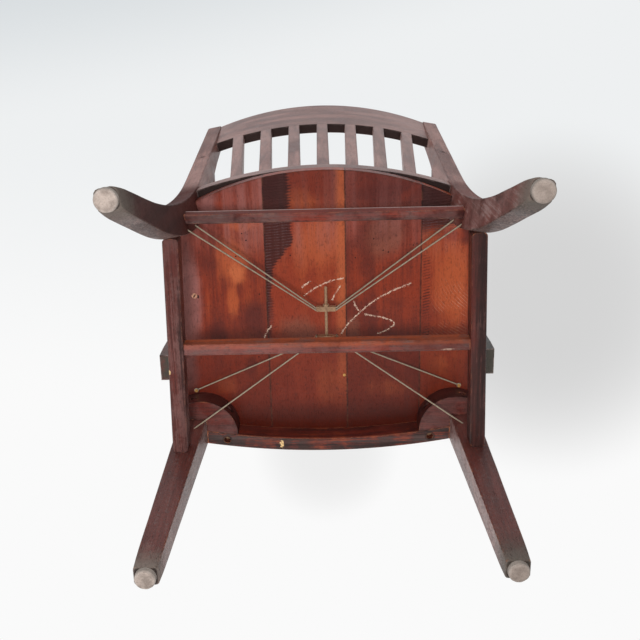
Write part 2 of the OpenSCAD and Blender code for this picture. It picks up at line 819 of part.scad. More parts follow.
module front_leg(left) {
    color(wood_leg) seated() on_side(left) {
        difference() {
            leg_blank();
            side_tenons(glue_gap);
            apron_dowel_places() dowel(glue_gap);
            block_screw_places() screw_hole(block_screw_l, head_d, over);
            wire_hole(yoke_bend(-1), wire_leg_end);
            glide_hole(leg_mid(glide_h));
        }
        leg_tenon(0);
    }
}

module apron_band() {
    translate([0, bow_y, apron_z]) intersection() {
        rotate_extrude($fn = arc_fn) translate([bow_r - apron_t / 2, 0]) polygon([
            [-apron_t / 2, apron_h], [-apron_t / 2, apron_edge_r],
            [-apron_t / 2 + apron_edge_r * round_mid, apron_edge_r * round_mid],
            [-apron_t / 2 + apron_edge_r, 0], [apron_t / 2 - apron_edge_r, 0],
            [apron_t / 2 - apron_edge_r * round_mid, apron_edge_r * round_mid],
            [apron_t / 2, apron_edge_r], [apron_t / 2, apron_h]
        ]);
        translate([-front_w / 2, -far - bow_r, 0]) cube([front_w, far + leg_top_d, apron_h]);
    }
}

module front_apron() {
    color(wood_rail) seated() difference() {
        apron_band();
        both_sides() {
            outside_leg();
            apron_dowel_places() dowel(glue_gap);
            apron_screw_place() screw_hole(apron_screw_l, counterbore_d, counterbore_l + over);
            block_screw_places() screw_hole(block_screw_l, head_d, over);
        }
    }
}

module corner_block(left) {
    color(wood_rail) seated() on_side(left) difference() {
        translate([0, 0, apron_z]) linear_extrude(apron_h) difference() {
            intersection() {
                translate([front_w / 2 - block_in, leg_front(apron_z) + block_back])
                    circle(r = block_r, $fn = 120);
                square([leg_out(apron_z) - block_edge, far]);
            }
            translate([0, bow_y]) difference() {
                circle(r = far * 4, $fn = 60);
                circle(r = bow_r - apron_t, $fn = arc_fn);
            }
        }
        intersection() {
            before_leg_rear();
            outside_leg();
        }
        block_screw_places() screw_hole(block_screw_l, head_d + 2 * hole_gap, block_sink + over);
    }
}

// Rear posts

module post_blank() {
    front = post_front_heights();
    rear = post_rear_heights();
    round = [for (i = [0 : 4]) 90 * i / 4];
    r = post_corner_r;
    top_front = post_front(post_top - r);
    top_rear = post_rear(post_top - r);
    post_frame() difference() {
        rotate([90, 0, 0]) linear_extrude(post_t) polygon(concat(
            [for (z = front) [post_front(z), z]],
            [for (a = round) [top_front + r - r * cos(a), post_top - r + r * sin(a)]],
            [for (a = round) [top_rear - r + r * sin(a), post_top - r + r * cos(a)]],
            [for (i = [len(rear) - 1 : -1 : 0]) [post_rear(rear[i]), rear[i]]]
        ));
        translate([-far / 2, post_side_r - post_t, post_top - post_side_r]) rotate([0, 90, 0])
            difference() {
                translate([-2 * post_side_r, -2 * post_side_r, 0])
                    cube([2 * post_side_r, 2 * post_side_r, far]);
                translate([0, 0, -over])
                    cylinder(h = far + 2 * over, r = post_side_r, $fn = bore_fn);
            }
    }
}

module rail_dowel_places() {
    for (i = [-0.5, 0.5])
        translate(post_point(rail_dowel_s, 0, rail_mid + i * dowel_pitch))
            rotate([0, 0, 90 - post_turn]) rotate([90, 0, 0]) children();
}

module crest_dowel_places() {
    for (i = [-1, 1]) {
        h = crest_dowel_mid + i * dowel_pitch;
        z = crest_z + h * cos(crest_lean);
        translate(post_point(post_rear(z) - crest_recess - crest_t / 2 + h * sin(crest_tip), 0, z))
            rotate([0, 0, 90 - post_turn]) rotate([90, 0, 0]) children();
    }
}

module arm_screw_place() {
    translate(post_point(post_rear(arm_mid) - plug_l - arm_screw_cover, post_t / 2, arm_mid))
        rotate([0, 0, 90 - post_turn]) rotate([0, -90, 0]) children();
}

module rear_tenon(gap) {
    translate([rear_point[0] - over, rear_point[1] - rear_w / 2 + shoulder - gap,
        rear_z + shoulder - gap])
        cube([over + rear_tenon_l + gap, rear_w - 2 * shoulder + 2 * gap,
            rear_h - 2 * shoulder + 2 * gap]);
}

module rear_post(left) {
    color(wood_grey) seated() on_side(left) difference() {
        post_blank();
        side_tenons(glue_gap);
        rear_tenon(glue_gap);
        rail_dowel_places() dowel(glue_gap);
        crest_dowel_places() dowel(glue_gap);
        arm_screw_place() screw_hole(frame_screw_l, plug_d + 2 * glue_gap, plug_l + over);
        post_screw_place() screw_hole(frame_screw_l, plug_d + 2 * glue_gap, plug_l + over);
        wire_hole(clip_bend(1), wire_post_end(wire_post_high));
        wire_hole(clip_bend(-1), wire_post_end(wire_post_low));
        glide_hole(post_foot);
    }
}

// Stretchers

module side_stretcher(left) {
    steps = 4;
    corner = [for (i = [0 : steps]) 90 * i / steps];
    r = side_end_r;
    end = side_l + side_w * tan(post_turn) / 2;
    color(wood_leg) seated() on_side(left) difference() {
        union() {
            difference() {
                side_frame() intersection() {
                    translate([0, end + far / 2, 0]) rotate([90, 0, 0]) linear_extrude(far + end)
                        soft_bar_section(side_w, side_h, edge_r);
                    linear_extrude(side_h) polygon(concat(
                        [for (a = corner) [side_w / 2 - r + r * sin(a), r - r * cos(a) - 1]],
                        [for (a = corner) [side_w / 2 - r + r * cos(a), end - r + r * sin(a)]],
                        [for (a = corner) [-side_w / 2 + r - r * sin(a), end - r + r * cos(a)]],
                        [for (a = corner) [-side_w / 2 + r - r * cos(a), r - r * sin(a) - 1]]
                    ));
                }
                before_leg_rear();
                behind_post_front(-far / 2);
            }
            side_tenons(0);
        }
        cross_tenon(glue_gap);
    }
}

module cross_tenon(gap) {
    translate([side_inner_x - over, cross_y - cross_w / 2 + shoulder - gap,
        cross_z + shoulder - gap])
        cube([over + cross_tenon_l + gap, cross_w - 2 * shoulder + 2 * gap,
            cross_h - 2 * shoulder + 2 * gap]);
}

module cross_stretcher() {
    color(wood_rail) seated() {
        difference() {
            translate([-front_w / 2, cross_y, cross_z]) rotate([90, 0, 90])
                linear_extrude(front_w) soft_bar_section(cross_w, cross_h, edge_r);
            both_sides() side_frame()
                translate([-side_w / 2, -far / 2, -far / 2]) cube([far, far, far]);
        }
        both_sides() cross_tenon(0);
    }
}

module rear_stretcher() {
    color(wood_rail) seated() {
        difference() {
            translate([-post_gap / 2, rear_point[1], rear_z]) rotate([90, 0, 90])
                linear_extrude(post_gap) soft_bar_section(rear_w, rear_h, edge_r);
            both_sides() outside_post();
        }
        both_sides() rear_tenon(0);
    }
}

// Back

// A slat's own frame: x across, y through, z up along it
module slat_frame(i) {
    up = slat_up(i);
    turn = slat_turn(i);
    flat_across = [cos(turn), -sin(turn), 0];
    across = unit(flat_across - up * (flat_across * up));
    through = cross(up, across);
    at = slat_low(i);
    multmatrix([
        [across[0], through[0], up[0], at[0]],
        [across[1], through[1], up[1], at[1]],
        [across[2], through[2], up[2], at[2]]
    ]) children();
}

module slat_tenons(i, gap) {
    l = norm(slat_high(i) - slat_low(i));
    w = slat_tenon_w + 2 * gap;
    t = slat_tenon_t + 2 * gap;
    slat_frame(i) for (z = [-slat_tenon_l - gap, l - 2 * over])
        translate([-w / 2, -t / 2, z]) cube([w, t, slat_tenon_l + 2 * over + gap]);
}

module back_slat(i) {
    l = norm(slat_high(i) - slat_low(i));
    color(wood_grey) seated() {
        difference() {
            slat_frame(i) translate([0, -slat_t / 2, -slat_t]) linear_extrude(l + 2 * slat_t)
                soft_bar_section(slat_w, slat_t, slat_edge_r);
            translate([-far / 2, 0, seat_top + rail_h - far]) cube([far, far, far]);
            crest_frame() translate([-far / 2, -far / 2, 0]) cube([far, far, far]);
        }
        slat_tenons(i, 0);
    }
}

module lower_back_rail() {
    color(wood_rail) seated() difference() {
        translate([0, rail_y, seat_top]) linear_extrude(rail_h) rail_plan(rail_r, rail_t);
        both_sides() {
            outside_post();
            rail_dowel_places() dowel(glue_gap);
        }
        for (i = [0 : slats - 1]) slat_tenons(i, glue_gap);
    }
}

module crest_rail() {
    color(wood_grey) seated() difference() {
        crest_frame() intersection() {
            linear_extrude(crest_h) rail_plan(crest_r, crest_t);
            translate([0, 0, crest_h - arch_r]) rotate([90, 0, 0])
                cylinder(h = far, r = arch_r, center = true, $fn = 2 * arc_fn);
        }
        both_sides() {
            outside_post();
            crest_dowel_places() dowel(glue_gap);
        }
        for (i = [0 : slats - 1]) slat_tenons(i, glue_gap);
    }
}

// Arms

// A rounded cross section of an arm at a distance along it
function arm_ring(x, y, half) =
    let (
        r = min(arm_edge_r, half * arm_round),
        corners = [[1, -1, -90], [1, 1, 0], [-1, 1, 90], [-1, -1, 180]]
    )
    [for (c = corners) for (i = [0 : 3]) let (a = c[2] + 30 * i)
        [x + c[0] * (half - r) + r * cos(a), y,
         arm_mid + c[1] * (arm_t / 2 - arm_edge_r) + arm_edge_r * sin(a)]];

module arm_blank() {
    back = arm_rear[1] + post_d;
    straight = [for (i = [0 : 12]) back + (arm_full_y - back) * i / 12];
    nose = [15, 30, 45, 60, 72, 82];
    loft(concat(
        [for (y = straight) arm_ring(arm_x(y), y, arm_half(y))],
        [for (a = nose)
            arm_ring(arm_front_x, arm_full_y - arm_nose_r * sin(a), arm_nose_r * cos(a))]
    ));
}

module stump_tenon(gap) {
    translate([arm_front_x, stump_y, arm_z - over])
        cylinder(h = over + stump_tenon_l + gap, d = stump_tenon_d + 2 * gap, $fn = bore_fn);
}

module arm(left) {
    color(wood_grey) seated() on_side(left) difference() {
        arm_blank();
        behind_post_front(-far / 2);
        stump_tenon(glue_gap);
        arm_screw_place() screw_hole(frame_screw_l, plug_d, over);
    }
}

module arm_stump(left) {
    bottom = seat_z - stump_drop;
    steps = 10;
    edge = [for (i = [0 : steps]) let (u = i / steps)
        [stump_d / 2 - stump_waist * sin(180 * u),
         seat_top + (arm_z - seat_top) * u]];
    color(stump_green) seated() on_side(left) {
        difference() {
            translate([half_seat, stump_y, 0]) rotate([90, 0, 90]) linear_extrude(stump_t)
                polygon(concat(
                    [[-stump_d / 2, bottom], [stump_d / 2, bottom]],
                    edge,
                    [for (i = [steps : -1 : 0]) [-edge[i][0], edge[i][1]]]
                ));
            stump_screw_places()
                screw_hole(frame_screw_l, plug_d + 2 * glue_gap, plug_l + over);
        }
        stump_tenon(0);
    }
}

// Glides

module glide(at, left) {
    r = glide_d / 2;
    color(glide_tan) seated() on_side(left) translate([at[0], at[1], 0]) rotate_extrude() polygon([
        [0, 0], [r - 2, 0], [r - 0.6, 0.6], [r, 2], [r, glide_h - 1], [r - 1, glide_h],
        [glide_stem_d / 2, glide_h], [glide_stem_d / 2, glide_h + glide_stem_l],
        [0, glide_h + glide_stem_l]
    ]);
}

// Wire brace

// The thickened bend of a wire
module wire_bend(at) {
    translate(at) cylinder(h = bead_d, d = bead_d, center = true, $fn = pin_fn);
}

// A wire that leaves its holder, bends, and runs on into a hole
module wire_run(start, bend, end) {
    run = unit(end - bend);
    rod(start, bend, wire_d);
    wire_bend(bend);
    rod(bend, end + run * wire_seat_l, wire_d);
}

module brace_wire_front(left) {
    inner = [yoke_hole_x, yoke_hole_y + over, 0];
    low = yoke_bend(-1);
    high = yoke_bend(1);
    toward = unit([high[0] - nail_point[0], high[1] - nail_point[1], 0]);
    color(steel_dull) seated() on_side(left) {
        wire_run([inner[0], inner[1], low[2]], low, wire_leg_end);
        rod([inner[0], inner[1], high[2]], high, wire_d);
        wire_bend(high);
        rod(high, nail_point + toward * eye_r, wire_d);
        translate(nail_point) rotate_extrude($fn = bore_fn)
            translate([eye_r, 0]) circle(d = eye_wire_d, $fn = 16);
    }
}

module brace_wire_rear(left) {
    color(steel_dull) seated() on_side(left) {
        for (end = [[1, wire_post_high], [-1, wire_post_low]]) {
            bend = clip_bend(end[0]);
            start = [clip_l / 2 - clip_hole_l, bend[1], bend[2]];
            wire_run(start, bend, wire_post_end(end[1]));
        }
    }
}

module wire_clip() {
    color(steel_brown) seated() difference() {
        translate([-clip_l / 2, clip_y - clip_w / 2, wire_z - clip_h / 2])
            cube([clip_l, clip_w, clip_h]);
        translate([0, clip_y, wire_z]) rotate([90, 0, 0])
            cylinder(h = 2 * clip_w, d = bolt_d + 2 * hole_gap, center = true, $fn = bore_fn);
        both_sides() for (up = [-1, 1])
            rod([clip_l / 2 - clip_hole_l - hole_gap, clip_y + up * clip_pitch / 2, wire_z],
                [clip_l, clip_y + up * clip_pitch / 2, wire_z], wire_d + 2 * hole_gap);
    }
}

module wire_yoke() {
    color(steel_dull) seated() difference() {
        translate([0, yoke_y, wire_z - yoke_h / 2]) linear_extrude(yoke_h) intersection() {
            translate([0, -yoke_r]) difference() {
                circle(r = yoke_r, $fn = 120);
                circle(r = yoke_r - yoke_t, $fn = 120);
            }
            translate([-yoke_l / 2, -yoke_l / 2]) square([yoke_l, yoke_l]);
        }
        translate([0, yoke_y, wire_z]) rotate([90, 0, 0])
            cylinder(h = 4 * yoke_t, d = bolt_d + 2 * hole_gap, center = true, $fn = bore_fn);
        both_sides() for (up = [-1, 1])
            rod([yoke_hole_x, yoke_y + yoke_t, wire_z + up * yoke_pitch / 2],
                [yoke_hole_x, yoke_y - yoke_l / 2, wire_z + up * yoke_pitch / 2],
                wire_d + 2 * hole_gap);
    }
}

module tension_bolt() {
    color(steel_brown) seated() translate([0, yoke_y - yoke_t, wire_z]) rotate([-90, 0, 0]) {
        cylinder(h = bolt_l + yoke_t, d = bolt_d, $fn = bore_fn);
        translate([0, 0, -hex_h]) cylinder(h = hex_h, d = hex_w / cos(30), $fn = 6);
    }
}

module tension_nut() {
    color(brass) seated() translate([0, clip_y + clip_w / 2, wire_z]) rotate([-90, 0, 0])
        difference() {
            cylinder(h = hex_h, d = hex_w / cos(30), $fn = 6);
            translate([0, 0, -over])
                cylinder(h = hex_h + 2 * over, d = bolt_d + 2 * hole_gap, $fn = bore_fn);
        }
}

// Fastenings

module wire_nails() {
    low = -eye_wire_d / 2 - hole_gap - nail_head_h;
    color(brass) seated() both_sides() nail_place() {
        translate([0, 0, low]) cylinder(h = nail_head_h, d = nail_head_d, $fn = pin_fn);
        translate([0, 0, low]) cylinder(h = nail_l, d = nail_d, $fn = pin_fn);
    }
}

module apron_screws() {
    color(steel_brown) seated() both_sides() apron_screw_place() screw(apron_screw_l);
}

module block_screws() {
    color(steel_brown) seated() both_sides() block_screw_places() screw(block_screw_l);
}

module frame_screws() {
    color(steel_brown) seated() both_sides() {
        stump_screw_places() screw(frame_screw_l);
        post_screw_place() screw(frame_screw_l);
        arm_screw_place() screw(frame_screw_l);
    }
}

module plug() {
    translate([0, 0, -plug_l]) cylinder(h = plug_l, d = plug_d, $fn = bore_fn);
}

module wood_plugs() {
    color(wood_leg) seated() both_sides() {
        stump_screw_places() plug();
        post_screw_place() plug();
        intersection() {
            arm_screw_place() translate([0, 0, -plug_l]) plug();
            post_blank();
        }
        arm_screw_place() plug();
    }
}

module crest_dowels() {
    color(wood_rail) seated() both_sides() crest_dowel_places() dowel(0);
}

module rail_dowels() {
    color(wood_rail) seated() both_sides() rail_dowel_places() dowel(0);
}

module apron_dowels() {
    color(wood_rail) seated() both_sides() apron_dowel_places() dowel(0);
}

module lone_screw() {
    color(brass) seated() translate([lone_screw_x, lone_screw_y, seat_z - head_h / 2])
        screw(lone_screw_l);
}

module seat_tack() {
    color(brass) seated() translate([tack_x, tack_y, seat_z - tack_head_h]) {
        cylinder(h = tack_head_h, d = tack_head_d, $fn = pin_fn);
        cylinder(h = tack_l, d = tack_d, $fn = pin_fn);
    }
}

seat_board(joint_left, far / 2, seat_red);  // seat_board_1
seat_board(joint_mid, joint_left, seat_red);  // seat_board_2
seat_board(joint_right, joint_mid, seat_dark);  // seat_board_3
seat_board(-far / 2, joint_right, seat_red);  // seat_board_4
front_apron();
corner_block(true);  // corner_block_left
corner_block(false);  // corner_block_right
front_leg(true);  // front_leg_left
front_leg(false);  // front_leg_right
rear_post(true);  // rear_post_left
rear_post(false);  // rear_post_right
side_stretcher(true);  // side_stretcher_left
side_stretcher(false);  // side_stretcher_right
cross_stretcher();
rear_stretcher();
lower_back_rail();
crest_rail();
for (i = [0 : slats - 1])
    back_slat(i);
arm(true);  // arm_left
arm(false);  // arm_right
arm_stump(true);  // arm_stump_left
arm_stump(false);  // arm_stump_right
glide(leg_mid(glide_h), true);  // glide_front_left
glide(leg_mid(glide_h), false);  // glide_front_right
glide(post_foot, true);  // glide_rear_left
glide(post_foot, false);  // glide_rear_right
brace_wire_front(true);  // brace_wire_front_left
brace_wire_front(false);  // brace_wire_front_right
brace_wire_rear(true);  // brace_wire_rear_left
brace_wire_rear(false);  // brace_wire_rear_right
wire_clip();
wire_yoke();
tension_bolt();
tension_nut();
wire_nails();
apron_screws();
block_screws();
frame_screws();
wood_plugs();
crest_dowels();
rail_dowels();
apron_dowels();
lone_screw();
seat_tack();
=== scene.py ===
"""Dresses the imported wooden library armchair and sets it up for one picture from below."""

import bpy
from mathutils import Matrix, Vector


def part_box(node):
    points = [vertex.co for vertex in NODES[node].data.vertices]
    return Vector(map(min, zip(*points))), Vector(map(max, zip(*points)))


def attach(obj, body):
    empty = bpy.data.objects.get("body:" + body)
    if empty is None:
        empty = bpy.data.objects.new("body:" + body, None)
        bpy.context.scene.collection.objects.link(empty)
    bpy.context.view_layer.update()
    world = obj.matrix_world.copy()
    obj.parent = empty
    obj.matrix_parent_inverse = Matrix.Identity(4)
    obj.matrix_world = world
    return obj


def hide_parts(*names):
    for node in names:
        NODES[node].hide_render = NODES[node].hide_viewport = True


bl_info = {
    "name": "Wooden library armchair",
    "version": (1, 0, 0),
    "blender": (4, 5, 0),
    "location": "View3D > Sidebar > Chair",
    "description": "Dresses a slat-backed wooden library armchair and its wire brace",
    "category": "Object",
}

from math import copysign, cos, pi, radians, sin, sqrt, tan, tau

import bmesh
import bpy
from bpy.props import FloatProperty, FloatVectorProperty, PointerProperty
from mathutils import Vector, noise

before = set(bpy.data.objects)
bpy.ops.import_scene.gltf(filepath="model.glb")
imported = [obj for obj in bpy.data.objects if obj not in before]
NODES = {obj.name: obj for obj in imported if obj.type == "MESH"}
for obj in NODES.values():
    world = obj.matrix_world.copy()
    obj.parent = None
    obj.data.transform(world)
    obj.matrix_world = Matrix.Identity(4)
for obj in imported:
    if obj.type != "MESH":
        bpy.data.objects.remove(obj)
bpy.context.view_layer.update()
BODY = "root"

UP, DOWN = (0.0, 0.0, 1.0), (0.0, 0.0, -1.0)
FRONT, REAR = (0.0, -1.0, 0.0), (0.0, 1.0, 0.0)

# The frame's own measures, in mm and from the front legs' faces, as the solids have them
SIDES = {1: "left", -1: "right"}
MID_Y = 219.488
SEAT_Z = 412.0
GLIDE_H = 8.0
POST_TOP = 892.0
POST_GAP = 370.6
POST_Y = 378.2
POST_T = 25.0
POST_D = 45.0
POST_TURN = radians(10.4)
POST_CORNER_R = 7.0
POST_SIDE_R = 12.0
# A post's sawn curves: rise above the seat's underside and radius in mm, then the lean of
# the straights below and above the arc, in degrees
POST_REAR = (8.0, 960.0, 18.0, 5.6)
POST_FRONT = (13.0, 780.0, 21.0, 10.5)
# Where the front edge starts to bend upright, over what height, and its lean above that
BEND_AT, BEND_H, BEND_LEAN = 228.0, 110.0, 6.5
# A foot is drawn in below the last of these heights
FOOT = (GLIDE_H, GLIDE_H + 0.8, GLIDE_H + 2.4)
# Front legs: outer face, width and depth at the seat, what they lose to the foot, and how
# far the front face leans in
LEG_OUT, LEG_W, LEG_D = 223.5, 41.5, 42.0
LEG_LESS_W, LEG_LESS_D, LEG_RAKE = 13.0, 18.0, 8.5
# The rails' bow, and half of a rail's length on its rear face
RAIL_BOW = 590.0
RAIL_HALF = 189.439
# The arms: height of the middle, rounding, and half of the flat part's height
ARM_Z, ARM_R, ARM_FLAT = 652.5, 8.0, 4.5
# Their middle line and half width in front and at the rear, where the round nose starts, where
# the arm grows from full width to slim, and its end at the post
ARM_X, ARM_HALF, ARM_REAR_X, ARM_REAR_HALF = 239.0, 30.0, 194.676, 12.2
ARM_NOSE, ARM_FLARE, ARM_END = 90.0, (150.0, 350.0), 140.552 + MID_Y
# Where the seat's boards end, from the sitter's left to right, in mm
BOARDS = (226.0, 87.0, -30.0, -140.0, -226.0)
# Patches of the boards' varnish: colour, middle and reach in mm, and some turned by degrees
PATCHES = {
    1: [
        # The mauve patches beside the left stretcher are partly worn varnish, partly a painted
        # sheen
        ("mauve", 201, -1, 18, 91), ("orange", 136, 56, 25, 39), ("glow", 131, 38, 12, 17),
        ("orange", 138, -4, 9, 28), ("plum", 106, -34, 21, 36), ("plum", 162, -56, 17, 22),
        ("stain", 114, -110, 9, 19), ("mauve", 206, -112, 14, 39), ("orange", 152, -138, 20, 18),
        ("orange", 121, 115, 29, 13), ("red", 145, 147, 23, 11), ("mauve", 168, 148, 16, 30),
    ],
    2: [
        ("orange", 10, 86, 38, 44), ("orange", -1, -141, 21, 39), ("plum", 87, -34, 6, 77),
        ("dull", 39, -51, 30, 24), ("red", 58, -151, 28, 43), ("orange", 34, 145, 26, 23),
    ],
    3: [
        ("dull", -87, 90, 28, 40, 25), ("plum", -86, 152, 48, 17), ("red", -123, 152, 20, 6, -35),
        ("dull", -40, -53, 12, 22), ("red", -121, -8, 13, 46), ("orange", -88, -148, 37, 20),
        ("stain", -99, -191, 37, 13),
    ],
    4: [
        ("orange", -186, 14, 29, 72), ("orange", -171, -113, 18, 21), ("plum", -205, 93, 9, 21),
        ("red", -184, 89, 23, 10),
    ],
}
# Small holes in the seat's underside, the last three a painted shadow beside the lone screw, and
# the points of the chalk strokes on it, in mm
PITS_AND_SCREW_SHADOW = (
    (119.4, 97.9), (113.7, 87.6), (129.8, 64.3), (50.2, 63.9), (-70.9, 86.2), (-92.1, 66.1),
    (-44.1, 58.8), (-84.6, 68.8), (-120.4, 64.2), (97.7, 6.1), (102.7, -92.4), (-128.2, 75.6),
    # Painted shadow of the lone screw
    (188.2, 2.6), (187.9, 4.2), (188.2, 5.8),
)
STROKES = (
    ((34.7, 14.3), (28.5, 20.5), (21.2, 24.7)),
    ((32.7, 1.9), (20.0, 10.8), (5.9, 18.7), (-10.0, 24.8), (-27.8, 28.2)),
    ((-8.7, -6.1), (-15.0, 6.0), (-22.7, 17.7)),
    ((-21.7, -58.7), (-34.0, -41.0), (-48.9, -26.2), (-64.0, -13.0), (-80.0, -2.0),
     (-103.0, 9.5), (-127.0, 18.5)),
    ((-40.1, -6.7), (-44.0, -15.0), (-48.9, -23.1)),
    ((-56.3, -27.9), (-74.0, -31.5), (-91.9, -36.5), (-100.9, -43.0), (-92.0, -52.3),
     (-75.6, -59.8)),
    ((93.7, -62.6), (90.0, -56.0), (87.2, -50.0), (83.5, -47.0), (82.5, -42.2)),
)


def bent(height, radius, low, high):
    """How far an arc that runs on straight at both ends has left its steepest point."""
    low, high = radians(low), radians(high)
    if height < -radius * sin(low):
        return radius * (1 - cos(low)) + (-height - radius * sin(low)) * tan(low)
    if height > radius * sin(high):
        return radius * (1 - cos(high)) + (height - radius * sin(high)) * tan(high)
    return radius - sqrt(radius * radius - height * height)


def post_rear(z):
    rise, *arc = POST_REAR
    return bent(z - SEAT_Z - rise, *arc)


def post_front(z):
    rise, *arc = POST_FRONT
    slope = tan(radians(arc[-1])) - tan(radians(BEND_LEAN))
    over = max(0.0, z - SEAT_Z - BEND_AT)
    back = slope * (over * over / (2 * BEND_H) if over < BEND_H else over - BEND_H / 2)
    return bent(z - SEAT_Z - rise, *arc) - POST_D - back


def post_point(s, t, z):
    """A point on the left post: s back along the plank, t out from its inner face."""
    return (
        POST_GAP / 2 + s * sin(POST_TURN) + t * cos(POST_TURN),
        POST_Y + s * cos(POST_TURN) - t * sin(POST_TURN) - MID_Y,
        z,
    )


def tone(*screen):
    """A colour as it looks on a screen, 0 to 255, as Blender's linear light."""
    return tuple((((c / 255) + 0.055) / 1.055) ** 2.4 for c in screen)


def scaled(hue, share):
    return tuple(c * share for c in hue)


def colour(name, description, *screen):
    return FloatVectorProperty(name=name, description=description, default=tone(*screen),
                               subtype="COLOR", min=0.0, max=1.0)


def length(name, description, default):
    return FloatProperty(name=name, description=description, default=default,
                         unit="LENGTH", precision=5, min=0.0)


def amount(name, description, default):
    return FloatProperty(name=name, description=description, default=default, min=0.0)


class ChairSizes(bpy.types.PropertyGroup):
    """Sizes of the details that the dressing adds."""

    arris: length("Arris", "Rounding of the sawn pieces' long edges", 0.0013)
    small_arris: length("Small arris", "Rounding of small pieces and of the seat's edges", 0.0009)
    thread: length("Thread", "Pitch of the tension bolt's thread", 0.0013)
    chalk: length("Chalk", "Width of a chalk stroke", 0.0058)
    pit: length("Pit", "Diameter of the small holes in the seat", 0.0022)
    wear: length("Wear", "Reach of the worn finish from an edge", 0.0038)


class ChairColours(bpy.types.PropertyGroup):
    """Colours of the chair's finishes."""

    seat_red: colour("Seat red", "Varnished seat boards", 120, 46, 28)
    seat_orange: colour("Seat orange", "Thin varnish on the seat boards", 148, 70, 40)
    seat_glow: colour("Seat glow", "The lightest places of the seat", 164, 86, 52)
    seat_plum: colour("Seat plum", "Dark old varnish on the seat boards", 72, 29, 25)
    # Worn varnish; beside the left stretcher it is also a painted sheen
    seat_mauve: colour("Seat mauve", "Worn varnish beside the stretchers", 126, 81, 77)
    seat_dull: colour("Seat dull", "Dulled varnish on the seat boards", 112, 62, 48)
    seat_stain: colour("Seat stain", "Dark stains on the seat boards", 48, 26, 24)
    # Darker varnish, which also carries painted shade by the apron and on the posts below the seat
    seat_wine: colour("Seat wine", "Deep varnish towards the apron", 90, 28, 16)
    saw_dark: colour("Saw marks", "Rough sawn strips", 30, 20, 22)
    saw_light: colour("Saw ridges", "Ridges of the rough sawn strips", 86, 64, 66)
    rail_red: colour("Rail red", "Apron, rails and stretchers", 102, 40, 32)
    rail_plum: colour("Rail plum", "Dark varnish on rails and stretchers", 42, 22, 21)
    rail_mauve: colour("Rail mauve", "Worn undersides of the rails", 116, 80, 76)
    leg_brown: colour("Leg brown", "Front legs and side stretchers", 88, 47, 42)
    leg_dark: colour("Leg dark", "Dark varnish of the legs", 36, 21, 20)
    back_mauve: colour("Back mauve", "Posts, crest rail and slats", 140, 98, 90)
    back_brown: colour("Back brown", "Dark varnish of the back", 92, 58, 52)
    bloom: colour("Bloom", "Grey bloom on old varnish", 158, 138, 134)
    worn: colour("Worn wood", "Wood laid bare along edges", 158, 96, 66)
    bare: colour("Bare wood", "Wood laid bare at the feet", 106, 99, 92)
    stump: colour("Stumps", "Aged varnish of the arm stumps", 56, 52, 46)
    glide: colour("Glides", "Foot glides", 166, 155, 148)
    glide_dirt: colour("Glide dirt", "Dirt on the foot glides", 122, 111, 104)
    wire: colour("Wire", "Dulled zinc of the brace wires", 160, 147, 128)
    steel: colour("Steel", "Clip, bolt and screws", 166, 134, 106)
    rust: colour("Rust", "Rust on the steel", 92, 60, 42)
    brass: colour("Brass", "Nails, nut and tack", 196, 148, 84)
    screw: colour("Lone screw", "The tarnished screw under the seat", 206, 152, 126)
    chalk: colour("Chalk", "Chalk strokes", 236, 206, 184)
    fleck: colour("Fleck", "Old paint flecks", 214, 180, 128)


class ChairStage(bpy.types.PropertyGroup):
    """The camera, the lamps and the background."""

    camera_at: FloatVectorProperty(
        name="Camera place", description="Where the camera stands", unit="LENGTH",
        default=(0.0023, 0.3879, -0.8471),
    )
    camera_turn: FloatVectorProperty(
        name="Camera turn", description="How the camera is turned", subtype="EULER",
        default=tuple(radians(a) for a in (161.394, 0.087, -178.805)),
    )
    lens: FloatProperty(
        name="Lens", description="Focal length for a 36 mm sensor, in mm", default=50.21, min=10.0
    )
    sky: amount("Sky", "Strength of the soft light from above and the sides", 0.75)
    dusk: amount("Dusk", "Strength of the soft light from below", 0.16)
    key: amount("Key lamp", "Power of the main lamp below, in watts", 30.0)
    fill: amount("Fill lamp", "Power of the soft fill lamp, in watts", 12.0)
    top: amount("Top lamp", "Power of the lamp above, in watts", 55.0)
    paper: colour("Background", "Background behind the chair", 250, 250, 250)
    haze: colour("Haze", "Background behind the chair's back", 238, 240, 241)
    veil: colour("Veil", "Background past the crest rail", 214, 219, 222)
    # A painted shadow of the chair on the background
    corner: colour("Corner", "Darker place of the background", 212, 212, 212)
    shade: colour("Shade", "Faint shade past the front apron", 236, 236, 236)
    cellar: colour("Cellar", "What reflections of the space below show", 70, 68, 66)
    floor: colour("Floor", "Plain pale floor", 226, 226, 224)


def sizes():
    return bpy.context.scene.chair_sizes


def colours():
    return bpy.context.scene.chair_colours


# Materials


class Value:
    """A socket of a tree's nodes, for use in Python expressions."""

    def __init__(self, tree, socket):
        self.tree = tree
        self.socket = socket

    def math(self, operation, *values):
        return self.tree.node("Math", {"operation": operation}, dict(enumerate(values)))

    def __add__(self, other):
        return self.math("ADD", self, other)

    __radd__ = __add__

    def __sub__(self, other):
        return self.math("SUBTRACT", self, other)

    def __rsub__(self, other):
        return self.math("SUBTRACT", other, self)

    def __mul__(self, other):
        return self.math("MULTIPLY", self, other)

    __rmul__ = __mul__

    def over(self, other):
        return self.math("MAXIMUM", self, other)

    def under(self, other):
        return self.math("MINIMUM", self, other)

    def wave(self):
        return self.math("SINE", self)

    def swayed(self, by, reach):
        """This value, moved up and down by a noise."""
        return self + (by - 0.5) * reach

    def step(self, low, high):
        """0 before low, 1 past high, and smooth between them."""
        return self.tree.node("MapRange", {"interpolation_type": "SMOOTHSTEP"},
                              {"Value": self, "From Min": low, "From Max": high})


